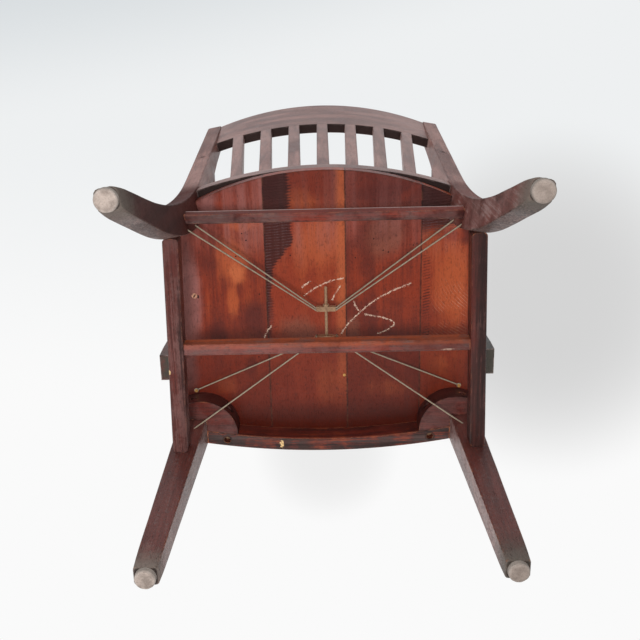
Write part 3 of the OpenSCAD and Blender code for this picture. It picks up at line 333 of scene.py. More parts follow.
class Nodes:
    """Adds nodes to one tree."""

    def __init__(self, tree):
        self.tree = tree

    def node(self, kind, settings=(), sockets=(), out=0):
        """Adds a node: its settings first, then the values or links of its sockets."""
        made = self.tree.nodes.new("ShaderNode" + kind)
        for name, value in dict(settings).items():
            setattr(made, name, value)
        for name, value in dict(sockets).items():
            socket = made.inputs[name]
            if isinstance(value, Value):
                self.tree.links.new(value.socket, socket)
            elif socket.type == "RGBA":
                socket.default_value = (*value[:3], 1.0)
            else:
                socket.default_value = value
        return Value(self, made.outputs[out])

    def mix(self, below, above, factor):
        """One colour over another."""
        return self.node("Mix", {"data_type": "RGBA"}, {0: factor, 6: below, 7: above}, out=2)

    def vector(self, operation, *values, out="Vector"):
        return self.node("VectorMath", {"operation": operation}, dict(enumerate(values)), out)

    def dot(self, one, other):
        return self.vector("DOT_PRODUCT", one, other, out="Value")

    def link(self, value, socket):
        self.tree.links.new(value.socket, socket)


class Shader(Nodes):
    """The nodes of one material, built from the shader back."""

    def __init__(self, name):
        self.material = bpy.data.materials.new(name)
        self.material.use_nodes = True
        super().__init__(self.material.node_tree)
        self.surface = self.tree.nodes["Principled BSDF"]
        self.here = self.node("TexCoord", out="Object")
        parts = self.node("SeparateXYZ", {}, {0: self.here}).socket.node
        self.x, self.y, self.z = (Value(self, socket) for socket in parts.outputs)

    def noise(self, at, scale, detail=4.0, rough=0.5, twist=0.0, out=0):
        return self.node("TexNoise", {}, {
            "Vector": at, "Scale": scale, "Detail": detail,
            "Roughness": rough, "Distortion": twist,
        }, out)

    def stretch(self, factors, offset=(0.0, 0.0, 0.0)):
        """The place on the surface, scaled along each axis and moved."""
        return self.vector("MULTIPLY_ADD", self.here, factors, offset)

    def stray(self, scale, reach):
        """The place on the surface, shifted to and fro by up to half of reach along each axis."""
        shift = self.noise(self.here, scale, 5.0, 0.6, out="Color")
        moved = self.vector("MULTIPLY_ADD", shift, reach, scaled(reach, -0.5))
        return self.vector("ADD", self.here, moved)

    def within(self, at, middle, reach, turn=0.0, full=0.1, none=1.6):
        """1 inside an ellipse in plan, 0 outside, and smooth between shares of its reach."""
        local = self.node("Mapping", {"vector_type": "TEXTURE"}, {
            "Vector": at, "Location": (*middle, 0.0), "Rotation": (0.0, 0.0, turn),
            "Scale": (*reach, 100.0)})
        return self.vector("LENGTH", local, out="Value").step(none, full)

    def facing(self, way, low=0.5, high=0.8):
        """1 where the surface faces a way, 0 where it doesn't."""
        flat = self.node("NewGeometry", out="True Normal")
        return self.dot(flat, way).step(low, high)

    def rounded(self, radius):
        """The normal with edges rounded to a radius."""
        return self.node("Bevel", {"samples": 6}, {"Radius": radius})

    def near_edge(self, radius):
        """How strongly the surface bends within a radius, 0 on a flat."""
        flat = self.node("NewGeometry", out="Normal")
        return (1.0 - self.dot(self.rounded(radius), flat)).step(0.004, 0.12)

    def bump(self, height, depth, normal=None):
        sockets = {"Strength": 1.0, "Distance": depth, "Height": height}
        if normal:
            sockets["Normal"] = normal
        return self.node("Bump", {}, sockets)

    def finish(self, varying, constants=()):
        """Feeds the shader: links for what varies, its own sockets for what doesn't."""
        for name, value in varying.items():
            self.link(value, self.surface.inputs[name])
        for name, value in dict(constants).items():
            self.surface.inputs[name].default_value = value
        return self.material


# Dark dirt for pores and scuffs, also laid on as painted shade under and between parts
DIRT_AND_SHADE = tone(26, 18, 17)
# How much slower the grain's noises change along the wood than across it
STREAK, FIBRE, PORE = 0.05, 0.022, 0.07
# The relief of the grain and the rounding of the metal's edges, in metres
GRAIN_DEPTH, METAL_ARRIS = 0.0004, 0.0004


class Wood(Shader):
    """Old varnished wood with its grain along one axis."""

    def __init__(self, name, along, deep, body, light, seed=0.0):
        super().__init__(name)
        offset = (seed, seed * 0.73, seed * 1.31)

        def grain(slower, *settings):
            factors = tuple(slower if axis == along else 1.0 for axis in "xyz")
            return self.noise(self.stretch(factors, offset), *settings)

        self.streak = grain(STREAK, 46.0, 6.0, 0.62, 0.5)
        self.line = grain(FIBRE, 260.0, 4.0, 0.65)
        self.fibre = grain(FIBRE, 760.0, 3.0, 0.7)
        self.pores = grain(PORE, 2100.0, 1.0, 0.5).step(0.6, 0.75)
        self.cloud = grain(1.0, 7.5, 5.0, 0.58, 0.4)
        self.patch = grain(1.0, 31.0, 6.0, 0.65, 0.3)
        self.speck = grain(1.0, 210.0, 3.0, 0.6)
        rings = (grain(STREAK, 13.0, 2.0, 0.45, 1.6) * 95.0).wave()
        self.base = self.mix(deep, body,
                             self.streak.swayed(self.cloud, 0.6).step(0.36, 0.62))
        self.layer(light, self.cloud.swayed(self.streak, 0.8).step(0.5, 0.72) * 0.75)
        self.layer(deep, rings.step(0.1, 1.0) * 0.18)
        self.layer(deep, self.line.step(0.55, 0.33) * 0.7)
        self.layer(light, self.fibre.step(0.54, 0.74) * 0.32)
        self.rough = 0.36 + (self.patch - 0.5) * 0.35 + self.pores * 0.15
        self.height = (self.streak * 0.3 + self.fibre * 0.35 - self.pores * 0.5
                       + self.patch * 0.25)

    def layer(self, hue, factor, dull=0.0):
        """Another colour over the wood, and how much rougher it is there."""
        self.base = self.mix(self.base, hue, factor)
        if dull:
            self.rough = self.rough + factor * dull
        return self

    def bloomed(self, share):
        """A thin grey bloom that comes and goes."""
        veil = (self.patch * 0.5 + self.cloud * 0.5).step(0.36, 0.66) * share
        return self.layer(colours().bloom, veil, 0.25)

    def scuffed(self, hue, share, least=0.5):
        """Patches of another finish, torn along the grain."""
        torn = (self.patch * 0.6 + self.line * 0.4).swayed(self.fibre, 0.5)
        return self.layer(hue, torn.step(least - 0.02, least + 0.06) * share, 0.1)

    def rubbed(self, hue, share, least=0.42):
        """Edges rubbed to the wood below in stretches, with a dark line behind them."""
        bend = self.near_edge(sizes().wear)
        self.layer(DIRT_AND_SHADE, bend.step(0.0, 0.3) * self.speck.step(0.2, 0.6) * 0.65)
        chafed = self.noise(self.here, 85.0, 4.0, 0.6)
        edge = bend.step(0.25, 0.8) * chafed.step(least, least + 0.16)
        return self.layer(hue, edge * share, 0.15)

    def footed(self, top, share):
        """Feet that are worn and dusty below a height in metres, with a painted shade ring just
        above the glide.
        """
        low = self.z.swayed(self.patch, 0.05).step(top, 0.0)
        self.layer(colours().bare, low * (self.speck + low).step(0.5, 1.1) * share, 0.3)
        # Painted shade: a dark ring just above the glide, where the foot meets it
        return self.layer(DIRT_AND_SHADE, self.z.step(0.0095, 0.0082) * 0.85)

    def made(self, coat=0.0, shine=0.25):
        # Old varnish gathers dirt in the pores, so they darken every layer
        grimy = self.mix(self.base, DIRT_AND_SHADE, self.pores * 0.4)
        grimy = self.mix(grimy, DIRT_AND_SHADE, self.speck.swayed(self.fibre, 0.6).step(0.56, 0.7) * 0.28)
        rounded = self.rounded(sizes().small_arris)
        return self.finish(
            {"Base Color": grimy, "Roughness": self.rough,
             "Normal": self.bump(self.height, GRAIN_DEPTH, rounded)},
            {"Coat Weight": coat, "Coat Roughness": 0.28, "Specular IOR Level": shine})


class Metal(Shader):
    """Dulled metal with rust or tarnish in spots, and, by a share, painted shade on all but its
    downward faces.
    """

    def __init__(self, name, hue, spoiled, share=0.5, grimy=0.0):
        super().__init__(name)
        spots = self.noise(self.here, 420.0, 5.0, 0.6)
        fine = self.noise(self.here, 1900.0, 2.0)
        base = self.mix(hue, spoiled, spots.step(0.42, 0.68) * share)
        base = self.mix(base, scaled(spoiled, 0.4), fine.step(0.55, 0.75) * 0.5)
        # Painted shade: by the share grimy, faces that don't face down darken, so the sides look
        # shaded
        self.base = self.mix(base, DIRT_AND_SHADE, self.facing(DOWN, 0.75, 0.3) * grimy)
        rounded = self.rounded(METAL_ARRIS)
        self.finish({"Base Color": self.base, "Roughness": 0.32 + spots * 0.3,
                     "Normal": self.bump(spots + fine * 0.4, 0.0001, rounded)},
                    {"Metallic": 0.55})


# Meshes


def placed(name, data):
    obj = bpy.data.objects.new(name, data)
    bpy.context.scene.collection.objects.link(obj)
    return obj


def mesh_from(name, points, faces, turned=True):
    """A mesh from points in mm, with its faces turned outwards."""
    mesh = bpy.data.meshes.new(name)
    mesh.from_pydata([Vector(p) * 0.001 for p in points], [], faces)
    if turned:
        bm = bmesh.new()
        bm.from_mesh(mesh)
        bmesh.ops.recalc_face_normals(bm, faces=bm.faces)
        bm.to_mesh(mesh)
        bm.free()
    return mesh


def piece(name, mesh, material, stands_for=(), smooth=35.0):
    """Adds a finished piece that rides on the chair."""
    obj = placed(name, mesh)
    mesh.materials.append(material)
    mesh.shade_smooth()
    mesh.set_sharp_from_angle(angle=radians(smooth))
    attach(obj, BODY)
    if stands_for:
        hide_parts(*stands_for)
    return obj


def loft(name, rings, material, stands_for=(), smooth=35.0):
    """A closed piece through rings of points in mm, all with the same count."""
    count = len(rings[0])
    faces = [tuple(range(count))[::-1]]
    for i in range(len(rings) - 1):
        for j in range(count):
            a, b = i * count + j, i * count + (j + 1) % count
            faces.append((a, b, b + count, a + count))
    last = (len(rings) - 1) * count
    faces.append(tuple(range(last, last + count)))
    mesh = mesh_from(name, [p for ring in rings for p in ring], faces)
    obj = piece(name, mesh, material, stands_for, smooth)
    shading = obj.modifiers.new("Even shading", "WEIGHTED_NORMAL")
    shading.keep_sharp = True
    return obj


def soft_section(low_a, high_a, low_b, high_b, radius, radius_b=0.0, steps=3):
    """A rectangle with round corners as (a, b) pairs. The corners may be ellipses."""
    radius_b = radius_b or radius
    corners = [(high_a, low_b, -90), (high_a, high_b, 0), (low_a, high_b, 90), (low_a, low_b, 180)]
    pairs = []
    for a, b, start in corners:
        middle_a = a - copysign(radius, a - (low_a + high_a) / 2)
        middle_b = b - copysign(radius_b, b - (low_b + high_b) / 2)
        for i in range(steps + 1):
            turn = radians(start + 90 * i / steps)
            pairs.append((middle_a + radius * cos(turn), middle_b + radius_b * sin(turn)))
    return pairs


def turned_rings(at, way, profile, count=36):
    """Rings about an axis in mm: (distance along it, radius, half the flats of a hexagon)."""
    turn = Vector(way).to_track_quat("Z", "Y")
    rings = []
    for along, radius, flat in profile:
        ring = []
        for i in range(count):
            angle = tau * i / count
            from_flat = (angle % (pi / 3)) - pi / 6
            r = min(radius, flat / cos(from_flat)) if flat else radius
            rim = Vector((r * cos(angle), r * sin(angle), along))
            ring.append(Vector(at) + turn @ rim)
        rings.append(ring)
    return rings


def mirrored(rings, side):
    return [[(x * side, y, z) for x, y, z in ring] for ring in rings]


def spread(low, high, steps):
    return [low + (high - low) * i / steps for i in range(steps + 1)]


def wander(place, seed, scale=0.021):
    """A smooth number from -1 to 1 that changes along a piece."""
    return noise.noise(Vector((place * scale, seed, 0.0)))


def rough_edge(base, place, seed):
    """An arris radius that wanders along a piece, as on a hand-scraped edge."""
    return base * (1.0 + 0.45 * wander(place, seed))


def foot_inset(z):
    return max(0.0, FOOT[-1] - z) ** 2 * 0.4


def worn_foot(z, most):
    """How much rounder an arris is at the foot, fading over the lowest 30 mm."""
    return most * max(0.0, 1.0 - (z - GLIDE_H) / 30.0) ** 1.5


def curve_through(points, steps=8):
    """A smooth curve through plan points, with the same number of steps in each part."""
    ends = [points[0], *points, points[-1]]
    curve = []
    for a, b, c, d in zip(ends, ends[1:], ends[2:], ends[3:]):
        a, b, c, d = (Vector(p) for p in (a, b, c, d))
        for i in range(steps):
            t = i / steps
            curve.append(0.5 * (2 * b + (c - a) * t + (2 * a - 5 * b + 4 * c - d) * t * t
                                + (3 * b - a - 3 * c + d) * t * t * t))
    return [*curve, Vector(points[-1])]


def box_mm(node):
    """The low corner, high corner and middle of a CAD piece's box, in mm."""
    low, high = (Vector(c) * 1000 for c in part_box(node))
    return low, high, (low + high) / 2


def paint(material, *nodes):
    """Gives CAD pieces their material."""
    for node in nodes:
        slots = NODES[node].data.materials
        slots.clear()
        slots.append(material)


def both(stem):
    return [stem + "_left", stem + "_right"]


# The seat


def only_below(wood, base, rough, height):
    """Keeps the marks to the underside: the rest is plain varnish, thinner where one sits."""
    below = wood.facing(DOWN, 0.2, 0.6)
    sat_on = wood.within(wood.here, (0.0, -0.02), (0.19, 0.17), full=0.3, none=1.2)
    base = wood.mix(base, colours().seat_orange,
                    sat_on * wood.patch.step(0.3, 0.65) * 0.45)
    wood.base = wood.mix(base, wood.base, below)
    wood.rough = rough + (wood.rough - rough) * below
    wood.height = height + (wood.height - height) * below


def varnish_patches(wood, board):
    """Where the varnish is thin, dull or stained, with edges that follow the grain, and painted
    shade by the apron and the back rail.
    """
    hues = colours()
    at = wood.stray(22.0, (0.022, 0.03, 0.0))
    for hue, x, y, reach_x, reach_y, *turn in PATCHES[board]:
        area = wood.within(at, (x / 1000, y / 1000), (reach_x / 1000, reach_y / 1000),
                           radians(sum(turn)))
        broken = area.swayed(wood.streak, 0.7).swayed(wood.line, 0.5).step(0.1, 0.95)
        wood.layer(getattr(hues, "seat_" + hue), broken * 0.88)
    wood.layer(hues.seat_plum, wood.cloud.step(0.5, 0.36) * 0.4)
    y = wood.y
    # Painted shade of the apron, with darker old varnish: the seat darkens towards the front
    front = y.swayed(wood.cloud, 0.08).step(0.0, -0.16)
    uneven = wood.streak.swayed(wood.cloud, 1.2).step(0.35, 0.6)
    wood.layer(hues.seat_wine, front * (0.5 + uneven * 0.4))
    # More painted shade towards the apron, most on the last two boards
    wood.layer(DIRT_AND_SHADE, front * (0.25 if board > 2 else 0.1))
    # Painted shade right along the apron
    deep = scaled(hues.seat_wine, 0.35)
    wood.layer(deep, y.swayed(wood.streak, 0.02).step(-0.15, -0.195) * 0.75)
    rear = y.swayed(wood.cloud, 0.1).step(0.05, 0.12)
    veiled = 0.75 if board == 1 else 0.5
    wood.layer(hues.seat_mauve, rear * wood.streak.step(0.35, 0.65) * veiled)
    # Painted shade under the lower back rail, on all boards but the first
    under_rail = y.swayed(wood.streak, 0.03).step(0.125, 0.15)
    wood.layer(hues.seat_plum, under_rail * (0.0 if board == 1 else 0.55))


def board_joints(wood, board):
    """Dark glue lines at the board's edges and the bright strip beside the middle one."""
    hues = colours()
    x = wood.x
    left, right = (edge / 1000 for edge in BOARDS[board - 1:board + 1])
    if board == 2:
        strip = ((x - right) + (wood.streak - 0.5) * 0.006).step(0.019, 0.006)
        faded = wood.y.step(-0.2, -0.06)
        wood.layer(hues.seat_glow, strip * faded * wood.cloud.step(0.25, 0.55) * 0.6)
    gaps = [left - x] * (board > 1) + [x - right] * (board < 4)
    near = gaps[0].under(gaps[-1])
    wood.layer(hues.seat_stain, (near + wood.patch * 0.0006).step(0.0012, 0.0004) * 0.8)


def sawn_strip(wood, board):
    """Rough strips along the first and the last joint, which the plane missed."""
    hues = colours()
    x, y = wood.x, wood.y
    tooth = ((y + x * 0.1 + (wood.patch - 0.5) * 0.009) * (tau / 0.0042)).wave()
    ragged = (wood.patch - 0.5) * 0.022 + (wood.streak - 0.5) * 0.02 + tooth * 0.0018
    if board == 2:
        inner = 0.048 + y.step(0.09, 0.035) * 0.03 + ragged
        area = (x - inner).step(-0.001, 0.005) * y.step(-0.075, 0.03)
    else:
        wide = (y + ragged).step(0.1, 0.125) * 0.06
        area = (x + wide + ragged).step(-0.177, -0.164) * (y + ragged).step(0.08, 0.11)
    wood.layer(hues.saw_dark, area * 0.8, 0.4)
    ridge = (tooth.swayed(wood.speck, 1.6).step(0.1, 1.1)
             * y.swayed(wood.patch, 0.05).step(0.15, 0.11))
    wood.layer(hues.saw_light, area * ridge * wood.line.step(0.35, 0.6) * 0.7)
    wood.height = wood.height + area * tooth * 0.8


def saw_teeth(wood):
    """A row of short saw ticks along the last joint."""
    x, y = wood.x, wood.y
    row = (x.step(-0.155, -0.152) * x.step(-0.142, -0.144)
           * y.step(0.062, 0.058) * y.step(-0.073, -0.069))
    tick = ((y + x * 0.25) * (tau / 0.0044)).wave()
    faint = wood.patch.step(0.35, 0.6)
    wood.layer(colours().seat_stain, row * faint * (tick + wood.speck).step(0.8, 1.3) * 0.9)


def swirls(wood):
    """Fine curved scratches across the last board."""
    centre = (-0.262, 0.055, SEAT_Z / 1000)
    at = wood.vector("SUBTRACT", wood.stray(30.0, (0.008, 0.008, 0.0)), centre)
    far = wood.vector("LENGTH", at, out="Value")
    line = ((far * (tau / 0.0043)).wave() + wood.speck * 0.5).step(1.0, 1.3)
    area = wood.within(wood.here, (-0.196, -0.012), (0.03, 0.062), 0.5)
    wood.layer(colours().chalk, line * area * wood.patch.step(0.42, 0.62) * 0.22)


class CHAIR_OT_seat(bpy.types.Operator):
    """Dress the four seat boards"""

    bl_idname = "chair.seat"
    bl_label = "Seat boards"

    def execute(self, context):
        hues = colours()
        looks = [
            (hues.seat_plum, hues.seat_red, hues.seat_orange, 0.0),
            (hues.seat_red, hues.seat_red, hues.seat_orange, 3.1),
            (hues.seat_plum, hues.seat_red, hues.seat_red, 7.7),
            (hues.seat_red, hues.seat_orange, hues.seat_orange, 12.4),
        ]
        for board, (deep, body, light, seed) in enumerate(looks, start=1):
            wood = Wood(f"seat_wood_{board}", "y", deep, body, light, seed)
            wood.layer(hues.seat_red, 0.35)
            top = wood.base, wood.rough, wood.height
            varnish_patches(wood, board)
            if board in (2, 4):
                sawn_strip(wood, board)
            if board == 4:
                saw_teeth(wood)
                swirls(wood)
            only_below(wood, *top)
            board_joints(wood, board)
            wood.rubbed(hues.worn, 0.12)
            paint(wood.made(coat=0.05, shine=0.2), f"seat_board_{board}")
        return {"FINISHED"}


def add_chalk():
    """Thin ribbons just below the boards, that fade to both sides."""
    points, cover, faces = [], [], []
    for number, stroke in enumerate(STROKES):
        path = curve_through(stroke)
        for i, at in enumerate(path):
            ahead = path[min(i + 1, len(path) - 1)] - path[max(i - 1, 0)]
            across = Vector((-ahead.y, ahead.x)).normalized()
            half = sizes().chalk * 500 * (1.0 + 0.4 * wander(i, number, 0.35))
            for side in (-1.0, 0.0, 1.0):
                points.append((*(at + across * half * side), SEAT_Z - 0.15))
            cover += [0.0, 0.35 if i in (0, len(path) - 1) else 1.0, 0.0]
            if i:
                new = len(points) - 3
                faces += [(k - 3, k - 2, k + 1, k) for k in (new, new + 1)]
    mesh = mesh_from("chalk_strokes", points, faces)
    mesh.attributes.new("cover", "FLOAT", "POINT").data.foreach_set("value", cover)
    chalk = Shader("chalk")
    grain = chalk.noise(chalk.here, 900.0, 3.0, 0.7)
    skip = chalk.noise(chalk.here, 240.0, 3.0, 0.6)
    thick = chalk.node("Attribute", {"attribute_name": "cover"}, out="Fac")
    shown = thick.swayed(grain, 2.0).swayed(skip, 2.2).step(0.45, 1.3) * 0.7
    base = chalk.mix(colours().chalk, colours().seat_dull,
                     skip.step(0.45, 0.75) * 0.5)
    material = chalk.finish({"Base Color": base, "Alpha": shown}, {"Roughness": 0.95})
    piece("chalk_strokes", mesh, material)


def add_pits():
    """Dark ragged discs for small holes, as painted shade in them, the last three a painted shadow
    beside the lone screw.
    """
    points, faces = [], []
    for number, (x, y) in enumerate(PITS_AND_SCREW_SHADOW):
        faces.append(range(len(points) + 9, len(points) - 1, -1))
        for i in range(10):
            angle = tau * i / 10
            r = sizes().pit * 500 * (1.0 + 0.3 * wander(i, number, 0.9))
            points.append((x + r * cos(angle), y + r * sin(angle), SEAT_Z - 0.1))
    mesh = mesh_from("seat_pits_painted_shade", points, faces, turned=False)
    dark = Shader("pit_painted_shade")
    dust = dark.noise(dark.here, 2500.0, 2.0)
    stain = colours().seat_stain
    base = dark.mix(scaled(stain, 0.35), stain, dust.step(0.55, 0.75))
    piece("seat_pits_painted_shade", mesh, dark.finish({"Base Color": base}, {"Roughness": 0.9}))


class CHAIR_OT_marks(bpy.types.Operator):
    """Add the chalk strokes and small holes under the seat"""

    bl_idname = "chair.marks"
    bl_label = "Marks under the seat"

    def execute(self, context):
        add_chalk()
        add_pits()
        return {"FINISHED"}


# Legs, stretchers and apron


def dress_legs():
    hues = colours()
    for side, name in SIDES.items():
        wood = Wood("leg_wood_" + name, "z", hues.leg_dark, hues.leg_brown, hues.leg_brown,
                    1.7 + side)
        wood.layer(hues.leg_brown, 0.35 + wood.cloud * 0.3)
        # Painted light: the front faces are made lighter
        wood.layer(hues.back_mauve, wood.facing(FRONT) * 0.6)
        inner = wood.facing((-float(side), 0.0, 0.0))
        # Grey dust on the inner faces, partly a painted sheen
        dust_and_sheen = wood.speck.swayed(wood.line, 0.8).step(0.62, 0.42)
        wood.layer(hues.bloom, inner * dust_and_sheen * 0.55, 0.2)
        wood.layer(hues.bloom, wood.speck.swayed(wood.fibre, 1.0).step(0.6, 0.72) * 0.16)
        wood.footed(0.07, 0.8)
        if side < 0:
            wood.layer(hues.stump, wood.z.step(0.085, 0.03) * 0.5)
        wood.rubbed(hues.worn, 0.6)
        material = wood.made()
        rings = []
        for z in (*FOOT, *spread(GLIDE_H + 8, SEAT_Z, 30)):
            share = (SEAT_Z - z) / (SEAT_Z - GLIDE_H)
            outer = LEG_OUT - share
            inner = outer - LEG_W + LEG_LESS_W * share
            front = LEG_RAKE * share - MID_Y
            rear = front + LEG_D - LEG_LESS_D * share
            inset = foot_inset(z)
            radius = rough_edge(sizes().arris * 1000, z, side) + worn_foot(z, 3.0)
            rings.append([(x, y, z) for x, y in soft_section(
                inner + inset, outer - inset, front + inset, rear - inset, radius)])
        loft("dressed_front_leg_" + name, mirrored(rings, side), material,
             ["front_leg_" + name])


def dress_stretchers():
    hues = colours()
    for side, name in SIDES.items():
        wood = Wood("side_wood_" + name, "y", hues.leg_dark, hues.leg_brown, hues.rail_red,
                    4.2 + side)
        outer = wood.facing((float(side), 0.0, 0.0))
        red = wood.cloud.swayed(wood.streak, 0.6).step(0.5, 0.62)
        wood.layer(hues.rail_red, red * (0.6 if side < 0 else 0.3))
        wood.scuffed(hues.rail_mauve, 0.6 if side > 0 else 0.3, 0.46 if side > 0 else 0.55)
        wood.layer(hues.leg_dark, 0.25 + wood.cloud.step(0.4, 0.6) * 0.25)
        wood.layer(hues.leg_dark, outer * 0.5)
        if side < 0:
            wood.layer(DIRT_AND_SHADE, wood.y.step(-0.04, -0.16) * 0.45)
        wood.rubbed(hues.worn, 0.6, 0.46)
        fleck = wood.within(wood.here, (0.2135, -0.0603), (0.0018, 0.0035), full=0.8, none=1.0)
        wood.layer(hues.fleck, fleck * wood.facing(DOWN) * 0.8)
        paint(wood.made(), "side_stretcher_" + name)
    for node, seed, low, upper in (("cross_stretcher", 9.3, 0.286, 0.65),
                                   ("rear_stretcher", 15.1, 0.279, 0.0)):
        wood = Wood(node + "_wood", "x", hues.rail_plum, hues.rail_red, hues.seat_red, seed)
        rear = wood.facing(REAR)
        z = wood.z
        above = z.swayed(wood.streak, 0.01).step(low - 0.001, low + 0.002)
        wood.layer(hues.seat_orange, rear * above * upper, 0.6)
        wood.layer(hues.rail_red if upper == 0 else hues.rail_plum,
                   rear * (1.0 - above * upper) * 0.6, 0.6)
        under = wood.facing(DOWN)
        wood.layer(hues.rail_mauve, under * wood.patch.step(0.35, 0.55) * 0.35)
        if upper:
            back = wood.y.swayed(wood.streak, 0.008).step(-0.031, -0.026)
            wood.layer(hues.seat_orange, back * wood.cloud.step(0.3, 0.55) * 0.6)
            x = wood.x
            wood.layer(hues.seat_mauve, under * x.step(0.0, 0.08) * 0.35)
            wood.layer(hues.rail_plum, under * x.step(-0.06, -0.15) * 0.35)
            scuff = wood.within(wood.stray(90.0, (0.01, 0.002, 0.0)), (-0.163, -0.036),
                                (0.011, 0.0017), full=0.6, none=1.1)
            wood.layer(hues.chalk, scuff * under * wood.speck.step(0.4, 0.65) * 0.4)
        wood.scuffed(hues.bloom, 0.22, 0.56).scuffed(DIRT_AND_SHADE, 0.4, 0.54)
        wood.rubbed(hues.worn, 0.75, 0.44)
        # Painted highlight: a grey band along the top of the rear stretcher's rear face
        if not upper:
            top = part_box(node)[1][2]
            line = z.step(top - 0.0065, top - 0.0045) * wood.streak.step(0.3, 0.45)
            wood.layer(hues.bloom, rear * line * 0.8)
        paint(wood.made(), node)


def dress_front():
    hues = colours()
    wood = Wood("apron_wood", "x", hues.rail_plum, hues.rail_red, hues.seat_red, 21.4)
    under = wood.facing(DOWN)
    wood.layer(hues.rail_plum, wood.patch.step(0.3, 0.6) * 0.5)
    # Dirt and painted shade: the underside is darkened
    wood.layer(DIRT_AND_SHADE, under * 0.88)
    wood.layer(hues.bloom, under * wood.streak.step(0.4, 0.7) * 0.15)
    wood.scuffed(hues.rail_red, 0.5, 0.5).scuffed(hues.seat_orange, 0.45, 0.57)
    wood.rubbed(hues.worn, 1.0, 0.36)
    # Painted shade in the screw holes of the underside
    low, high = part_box("apron_screws")
    for x in (low[0] + 0.004, high[0] - 0.004):
        hole = wood.within(wood.here, (x, (low[1] + high[1]) / 2), (0.0085, 0.0085),
                           full=0.75, none=1.0)
        wood.layer(DIRT_AND_SHADE, hole * under * 0.8)
    spot = wood.within(wood.stray(260.0, (0.005, 0.005, 0.0)), (0.0708, -0.2212),
                       (0.0046, 0.0095), full=0.5, none=1.0)
    flakes = wood.noise(wood.here, 330.0, 2.0, 0.6)
    wood.layer(hues.fleck, spot.swayed(flakes, 2.6).step(0.68, 0.9) * under * 0.85)
    paint(wood.made(), "front_apron")
    block = Wood("block_wood", "x", hues.rail_plum, hues.rail_red, hues.rail_red, 27.9)
    under = block.facing(DOWN)
    block.layer(hues.rail_mauve, under * block.patch.step(0.4, 0.6) * 0.45)
    block.layer(hues.rail_plum, 0.3 + (1.0 - under) * 0.4)
    block.scuffed(DIRT_AND_SHADE, 0.4, 0.55).rubbed(hues.worn, 0.6, 0.5)
    paint(block.made(), *both("corner_block"))


class CHAIR_OT_frame(bpy.types.Operator):
    """Dress the legs, stretchers, apron and corner blocks"""

    bl_idname = "chair.frame"
    bl_label = "Legs and stretchers"

    def execute(self, context):
        dress_legs()
        dress_stretchers()
        dress_front()
        return {"FINISHED"}


# Back and arms


def back_wood(name, along, seed, bloom, feet=0.0, side=0):
    """The back's varnish, with worn feet up to a height for what stands on the floor."""
    hues = colours()
    wood = Wood(name, along, hues.back_brown, hues.back_mauve, hues.back_mauve, seed)
    wood.layer(hues.back_brown, wood.streak.swayed(wood.patch, 0.5).step(0.5, 0.3) * 0.35)
    wood.bloomed(bloom)
    if feet:
        low = wood.z.swayed(wood.patch, 0.06).step(0.5, 0.42)
        front = wood.facing(FRONT, 0.4, 0.6) * low
        wood.scuffed(hues.rail_mauve, 0.3, 0.56)
        # Below the seat the posts darken, except on the front: darker varnish and painted shade
        dark = low * (1.0 - front)
        wood.layer(hues.rail_plum, dark * (0.9 if side > 0 else 0.5), 0.25)
        wood.layer(hues.leg_brown, dark * wood.streak.step(0.4, 0.7) * 0.3)
        wood.layer(hues.seat_wine, dark * wood.z.step(0.2, 0.38) * 0.3)
        if side < 0:
            wood.layer(hues.rail_mauve, dark * wood.patch.step(0.4, 0.6) * 0.6)
            wood.layer(hues.rail_red, dark * wood.cloud.step(0.45, 0.6) * 0.4)
            wood.scuffed(hues.bloom, 0.35, 0.55)
        # The lower front faces go grey: patina and painted light
        wood.layer(hues.stump, front * 0.55)
        wood.layer(hues.bloom, front * wood.speck.step(0.45, 0.55) * 0.4)
        dots = wood.noise(wood.here, 460.0, 2.0, 0.6)
        wood.layer(DIRT_AND_SHADE, front * dots.swayed(wood.cloud, 0.5).step(0.5, 0.57) * 0.85)
        wood.footed(feet, 0.8)
    # Painted shade: the crest rail's and lower back rail's undersides are darkened
    if along == "x":
        wood.layer(DIRT_AND_SHADE, wood.facing(DOWN) * 0.95, 0.5)
    wood.rubbed(hues.bloom, 0.4)
    return wood.made(coat=0.0, shine=0.1) if feet else wood.made(coat=0.1, shine=0.35)


def post_rings(side):
    """Rings up a rear post, between its two sawn curves."""
    rings = []
    top = [POST_TOP - POST_SIDE_R * (1 - sin(radians(a))) for a in
           (12, 24, 35, 45, 55, 65, 73, 80, 85, 90)]
    for z in (*FOOT, *spread(GLIDE_H + 8, POST_TOP - POST_SIDE_R, 72), *top):
        front, rear, inset = post_front(z), post_rear(z), foot_inset(z)
        above = max(0.0, z - (POST_TOP - POST_CORNER_R))
        turn_in = POST_CORNER_R - sqrt(max(0.0, POST_CORNER_R ** 2 - above * above))
        beyond = max(0.0, z - (POST_TOP - POST_SIDE_R))
        outer_in = POST_SIDE_R - sqrt(max(0.0, POST_SIDE_R ** 2 - beyond * beyond))
        radius = rough_edge(sizes().arris * 1000, z, side * 3.0) + worn_foot(z, 6.0)
        rings.append([post_point(s, t, z) for s, t in soft_section(
            front + inset + turn_in, rear - inset - turn_in, inset,
            POST_T - inset - outer_in, radius)])
    return rings


